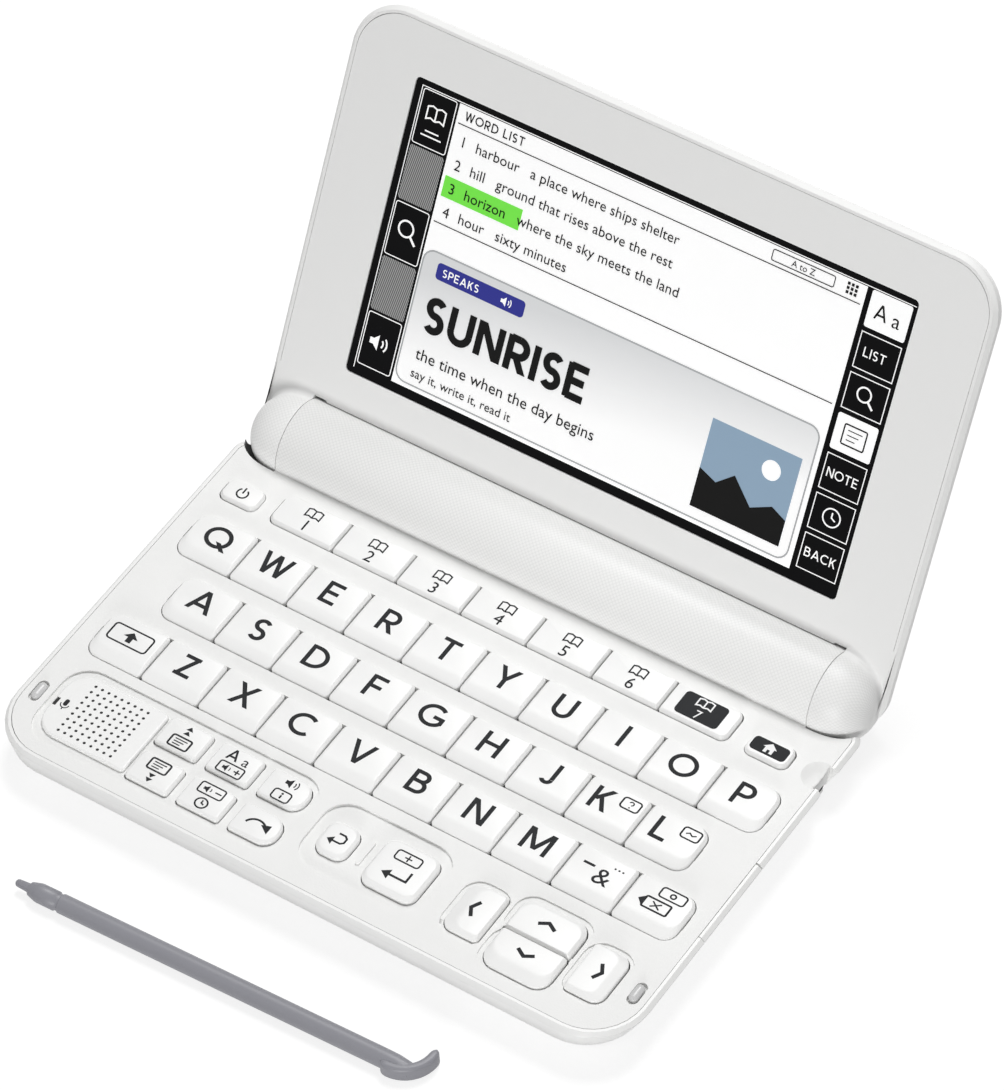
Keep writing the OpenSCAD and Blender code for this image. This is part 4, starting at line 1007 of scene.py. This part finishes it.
def function_marks(mark, column, row):
    """What is printed on a function key: lists, letter size, loudness, history, help and a jump."""
    if column == 0:
        way = 1 if row else -1
        lines_icon(mark, 0, -1.2 * way, 3.4, 2.2)
        triangles(mark, 0, 1.4 * way, 0.95, way)
    elif column == 1:
        y = -1.45 if row else 1.55
        mark.frame(-2.1, 2.2, y - 1.05, y + 1.05, 0.26, 0.4)
        speaker_icon(mark, -0.5, y, 1.7, 1)
        mark.rect(0.7, 1.8, y - 0.12, y + 0.12)
        if row:
            mark.rect(1.13, 1.37, y - 0.55, y + 0.55)
            mark.glyph("A", -1.0, 1.3, 2.2)
            mark.text("a", 1.4, 1.1, 2.0)
        else:
            mark.ring(0, -1.3, 1.0, 0.28).stroke([(0, -0.7), (0, -1.3), (0.5, -1.5)], 0.26)
    elif row:
        speaker_icon(mark, 0.2, 1.3, 2.2)
        mark.frame(-1.5, 1.5, -2.5, -0.5, 0.26, 0.5).rect(-0.15, 0.15, -2.1, -1.4).disc(0, -1.05, 0.2)
    else:
        mark.stroke(arc(0, -1.2, 1.9, 160, 40, 14), 0.36).fill((0.6, 0.1), (2.2, -1.1), (2.2, 0.7))


for row in ROWS:
    for letter in row:
        mark = key_print(letter, slope=KEY_SLOPE - 0.35, stretch=(LETTER_WIDEN, 1))
        letter_marks(mark, letter)
        mark.make()

key_print("power").ring(0, -0.1, 1.2, 0.36, 125, 415).rect(-0.18, 0.18, -0.1, 1.5).make()
key_print("home", "plate_").rect(-4, 4, -1.7, 1.7, 0.9).make()
mark = key_print("home", material=white_ink_mat, lift=PRINT_T)
mark.fill((-1.5, 0.1), (1.5, 0.1), (0, 1.3)).rect(-1.0, -0.3, -1.2, 0.12).rect(0.3, 1.0, -1.2, 0.12)
mark.rect(-0.32, 0.32, -0.4, 0.11).make()
reference_marks()

for c in range(3):
    for r in range(2):
        mark = key_print(f"function_{c}{r}", stretch=FUNC_STRETCH)
        function_marks(mark, c, r)
        mark.make()

mark = key_print("back")
mark.stroke([(-0.4, 1.3), (1.0, 1.3), (1.6, 0.8), (1.6, -0.3), (1.0, -0.8), (-0.8, -0.8)], 0.42)
mark.fill((-2.0, -0.8), (-0.7, -1.8), (-0.7, 0.2)).make()
mark = key_print("enter").frame(-2.8, 2.8, 1.6, 3.9, 0.34, 0.6)
mark.rect(-0.8, 0.8, 2.6, 2.9).rect(-0.15, 0.15, 1.95, 3.55)
mark.stroke([(2.6, 0.2), (2.6, -2.2), (-1.4, -2.2)], 0.5)
mark.fill((-3.0, -2.2), (-1.2, -3.4), (-1.2, -1.0)).make()

# Turn of each arrow sign, and its shift from the middle of its key.
ARROWS = {"up": (0, 0, -0.2), "left": (90, -0.4, 0.1), "down": (180, 0, 0.9), "right": (270, 0.4, 0.1)}
ARROW_SPREAD, ARROW_DEPTH = 1.9, 1.1
for name, (turn, dx, dy) in ARROWS.items():
    mark = key_print(name)
    turned = Matrix.Rotation(math.radians(turn), 4, "Z")
    mark.matrix = mark.matrix @ Matrix.Translation((dx, dy, 0)) @ turned
    sides = [(side * ARROW_SPREAD, -ARROW_DEPTH / 2) for side in (-1, 1)]
    mark.stroke([sides[0], (0, ARROW_DEPTH / 2), sides[1]], 0.78).make()


# Contents of the display, in millimetres from its lower left corner. Each level lies STEP higher.
SCREEN = LID @ Matrix.Translation((-WINDOW_W / 2, -WINDOW_Y, LID_FACE + 0.2))
SCREEN = SCREEN @ Matrix.Rotation(math.pi, 4, "X")
STEP = 0.03
lit_white = lit("display_white", (0.88, 0.88, 0.88), 0.34)
lit_green = lit("display_green", (0.19, 0.8, 0.08), 0.16)
lit_blue = lit("display_blue", (0.04, 0.045, 0.3), 0.05)
lit_grey = lit("display_grey", (0.45, 0.46, 0.47), 0.05)
lit_sky = lit("display_sky", (0.3, 0.42, 0.55), 0.05)
lit_black = lit("display_black", (0.006, 0.006, 0.006), 0.0)
hatch_mat = hatched("display_hatch", (0.05, 0.05, 0.05), (0.42, 0.42, 0.42), 0.55)
panel_mat = panel_gradient("display_panel", (SCREEN @ Vector((0, 32, 0))).z, (SCREEN @ Vector((0, 3, 0))).z)


def layer(name, material, level):
    return Print("display_" + name, SCREEN, "lid", material, level * STEP)


PAGE = (10.6, 104.4, 2.1, 63.2)
RULE_X = (11.2, 103.8)
ROW_TOP, ROW_STEP, ROW_H, ROW_TEXT = 55.9, 5.1, 4.5, 2.3
layer("page", lit_white, 0).rect(*PAGE).make()
words = layer("words", lit_black, 2)
words.word("WORD LIST", 12.4, 61.2, 1.9, 0.15)
for i in range(3):
    for j in range(3):
        words.rect(100.2 + i * 0.9, 100.8 + i * 0.9, 60.2 + j * 0.9, 60.8 + j * 0.9)
words.rect(*RULE_X, 59.1, 59.3)
words.frame(83.5, 97.5, 60.1, 62.4, 0.2, 0.4)
words.text("A to Z", 90.5, 61.3, 1.4)
LIST = ["harbour   a place where ships shelter", "hill   ground that rises above the rest",
        "horizon   where the sky meets the land", "hour   sixty minutes"]
CHOSEN = 2
chosen_y = ROW_TOP - ROW_STEP * CHOSEN
layer("chosen", lit_green, 1).rect(11.3, 29.6, chosen_y - ROW_H / 2, chosen_y + ROW_H / 2).make()
for i, line in enumerate(LIST):
    y = ROW_TOP - ROW_STEP * i
    words.text(str(i + 1), 13.4, y, ROW_TEXT)
    words.text(line, 16.5, y, ROW_TEXT, align=0.0)
words.rect(*RULE_X, ROW_TOP - ROW_STEP * 3.55, ROW_TOP - ROW_STEP * 3.55 + 0.2)

CARD = (11.0, 103.2, 3.1, 32.0)
layer("card", panel_mat, 1).rect(*CARD, 2.5).make()
layer("card_edge", lit_grey, 1.7).frame(*CARD, 0.35, 2.5).make()
words.word("SUNRISE", 14.5, 19.0, 7.4, 0.21, 0.17)
words.text("the time when the day begins", 14.5, 10.2, 2.6, align=0.0)
words.text("say it, write it, read it", 14.5, 5.9, 2.0, align=0.0)
PICTURE = (80.5, 101.0, 5.4, 24.6)
layer("sky", lit_sky, 2).rect(*PICTURE).make()
layer("moon", lit_white, 3).disc(95.3, 19.6, 2.1).make()
hills = layer("hills", lit_black, 3)
ridge = [(101.0, 11.0), (97.5, 12.6), (93.0, 10.4), (88.2, 15.3), (84.6, 12.2), (80.5, 13.8)]
hills.fill((80.5, 5.4), (101.0, 5.4), *ridge).make()
layer("badge", lit_blue, 2).rect(14.5, 35.3, 26.6, 30.2, 0.8).make()
badge = layer("badge_words", lit_white, 3)
badge.word("SPEAKS", 16.0, 28.4, 1.7, 0.15)
speaker_icon(badge, 31.0, 28.4, 2.4)
badge.make()
words.make()

# Touch fields down both sides of the display.
left_fields = layer("fields_left", hatch_mat, 0)
left_marks = layer("marks_left", lit_white, 1)
LEFT_X0, LEFT_X1, LEFT_N = 2.1, 10.1, 5
left_step = (PAGE[3] - PAGE[2]) / LEFT_N
x = (LEFT_X0 + LEFT_X1) / 2
for i in range(LEFT_N):
    y1 = PAGE[3] - i * left_step
    y0 = y1 - left_step + 0.5
    y = (y0 + y1) / 2
    if i % 2:
        left_fields.rect(LEFT_X0, LEFT_X1, y0, y1, 0.5)
        continue
    left_marks.frame(LEFT_X0 + 0.1, LEFT_X1 - 0.1, y0 + 0.1, y1 - 0.1, 0.2, 0.5)
    if i == 0:
        book_icon(left_marks, x, y + 1.4, 4.2, 3.0)
        left_marks.rect(x - 2.4, x + 2.4, y0 + 2.2, y0 + 2.5).rect(x - 1.6, x + 1.6, y0 + 3.2, y0 + 3.5)
    elif i == 2:
        left_marks.ring(x - 0.4, y + 0.8, 1.7, 0.4).stroke([(x + 0.8, y - 0.4), (x + 2.3, y - 2.0)], 0.5)
    else:
        speaker_icon(left_marks, x - 0.3, y, 4.0)
left_fields.make()
left_marks.make()

right_plates = layer("plates_right", lit_white, 0)
right_dark = layer("marks_dark", lit_black, 1)
right_marks = layer("marks_right", lit_white, 0)
RIGHT_X0, RIGHT_X1, RIGHT_N = 105.6, 114.6, 7
RIGHT_WORDS = {1: (3.0, "LIST"), 4: (3.6, "NOTE"), 6: (3.6, "BACK")}
right_step = 61.0 / RIGHT_N
x = (RIGHT_X0 + RIGHT_X1) / 2
for i in range(RIGHT_N):
    y1 = PAGE[3] - i * right_step
    y0 = y1 - right_step + 1.0
    y = (y0 + y1) / 2
    if i in (0, 3):
        right_plates.rect(RIGHT_X0, RIGHT_X1, y0, y1, 0.5)
        mark = right_dark
    else:
        mark = right_marks.frame(RIGHT_X0 + 0.1, RIGHT_X1 - 0.1, y0 + 0.1, y1 - 0.1, 0.2)
    if i in RIGHT_WORDS:
        left_by, word = RIGHT_WORDS[i]
        mark.word(word, x - left_by, y, 2.0, 0.13, 0.16)
    elif i == 0:
        mark.glyph("A", x - 1.6, y, 3.2, 0.13)
        mark.text("a", x + 1.9, y - 0.2, 3.2)
    elif i == 2:
        mark.ring(x - 0.4, y + 0.4, 1.5, 0.35).stroke([(x + 0.7, y - 0.7), (x + 2.0, y - 2.0)], 0.45)
    elif i == 3:
        lines_icon(mark, x, y, 5.0, 4.2)
    else:
        mark.ring(x, y, 1.9, 0.3).stroke([(x, y + 1.1), (x, y), (x + 0.9, y - 0.5)], 0.3)
right_plates.make()
right_dark.make()
right_marks.make()
layer("border", lit_white, 0.5).stroke([(1.7, 1.4), (1.7, 63.5), (115.2, 63.5)], 0.18).make()

# Microphone sign beside its slot.
place = Matrix.Translation((MIC_X + 1.9, GRILLE_Y - 0.7, GRILLE_TOP)) @ Matrix.Scale(1.3, 4)
mark = Print("print_mic", place, "base").rect(-0.35, 0.35, -0.1, 1.2, 0.3)
mark.ring(0, 0.2, 0.7, 0.16, 180, 360).rect(-0.08, 0.08, -0.9, -0.5).make()


def photo_camera():
    """The camera stands where the photograph was taken from."""
    azimuth, elevation, roll = math.radians(36.87), math.radians(49.83), math.radians(-4.18)
    aim, distance = Vector((-0.012957, 0.040954, 0.00955)), 1.3303
    sensor, focal_px, width_px = 36, 6690.2, 1004
    back = Vector((math.sin(azimuth) * math.cos(elevation), -math.cos(azimuth) * math.cos(elevation),
                   math.sin(elevation)))
    level_right = (-back).cross(Vector((0, 0, 1))).normalized()
    level_up = level_right.cross(-back)
    right = level_right * math.cos(roll) + level_up * math.sin(roll)
    up = -level_right * math.sin(roll) + level_up * math.cos(roll)
    stand = Matrix((right, up, back)).transposed().to_4x4()
    stand.translation = aim + back * distance
    camera_data = bpy.data.cameras.new("camera")
    camera_data.sensor_fit, camera_data.sensor_width = "HORIZONTAL", sensor
    camera_data.lens = focal_px / width_px * sensor
    camera_data.clip_start = 0.1
    camera = add_object("camera", camera_data)
    camera.matrix_world = stand
    bpy.context.scene.camera = camera


# Floor, lamps and world.

def studio_rays(tree, lamps, eye):
    """Shows one shader to lamps and shadows, and the other to the camera and to mirrors and glass."""
    path = tree.nodes.new("ShaderNodeLightPath").outputs
    rays = compute(tree, "MAXIMUM", path["Is Camera Ray"], path["Is Glossy Ray"])
    rays = compute(tree, "MAXIMUM", rays, path["Is Transmission Ray"])
    return add_node(tree, "MixShader", rays, lamps.outputs[0], eye.outputs[0]).outputs[0]


def studio_floor(half=6000):
    material = bpy.data.materials.new("floor_white")
    material.use_nodes = True
    tree = material.node_tree
    tree.nodes.clear()
    plain = add_node(tree, "BsdfDiffuse", Color=(0.5, 0.5, 0.5, 1))
    seen = add_node(tree, "BsdfDiffuse", Color=(0.32, 0.32, 0.32, 1))
    glow = add_node(tree, "Emission", Color=(1, 1, 1, 1), Strength=0.78)
    both = add_node(tree, "AddShader", seen.outputs[0], glow.outputs[0])
    add_node(tree, "OutputMaterial", studio_rays(tree, plain, both))
    floor = new_object("floor", at_z(0, box_points(-half, half, -half, half)), [(0, 1, 2, 3)])
    floor.data.materials.append(material)


def studio_world(strength):
    world = bpy.data.worlds.new("studio")
    bpy.context.scene.world = world
    world.use_nodes = True
    tree = world.node_tree
    shine = feed(tree, tree.nodes["Background"], Color=(1, 1, 1, 1), Strength=strength)
    white = add_node(tree, "Background", Color=(1, 1, 1, 1), Strength=1.0)
    feed(tree, tree.nodes["World Output"], studio_rays(tree, shine, white))


def softbox(name, place, target, watts, size):
    light = bpy.data.lights.new(name, "AREA")
    light.energy = watts
    light.size = size
    obj = add_object(name, light)
    obj.location = place
    obj.rotation_euler = (Vector(place) - Vector(target)).to_track_quat("Z", "Y").to_euler()


photo_camera()
studio_floor()
studio_world(0.32)
softbox("key_light", (-0.16, 0.59, 1.15), (0, 0.02, 0), 10.2, 0.5)
softbox("front_light", (0.5, -1.2, 0.1), (0, 0.02, 0.03), 11.5, 0.5)
bpy.context.scene.view_settings.view_transform = "Standard"
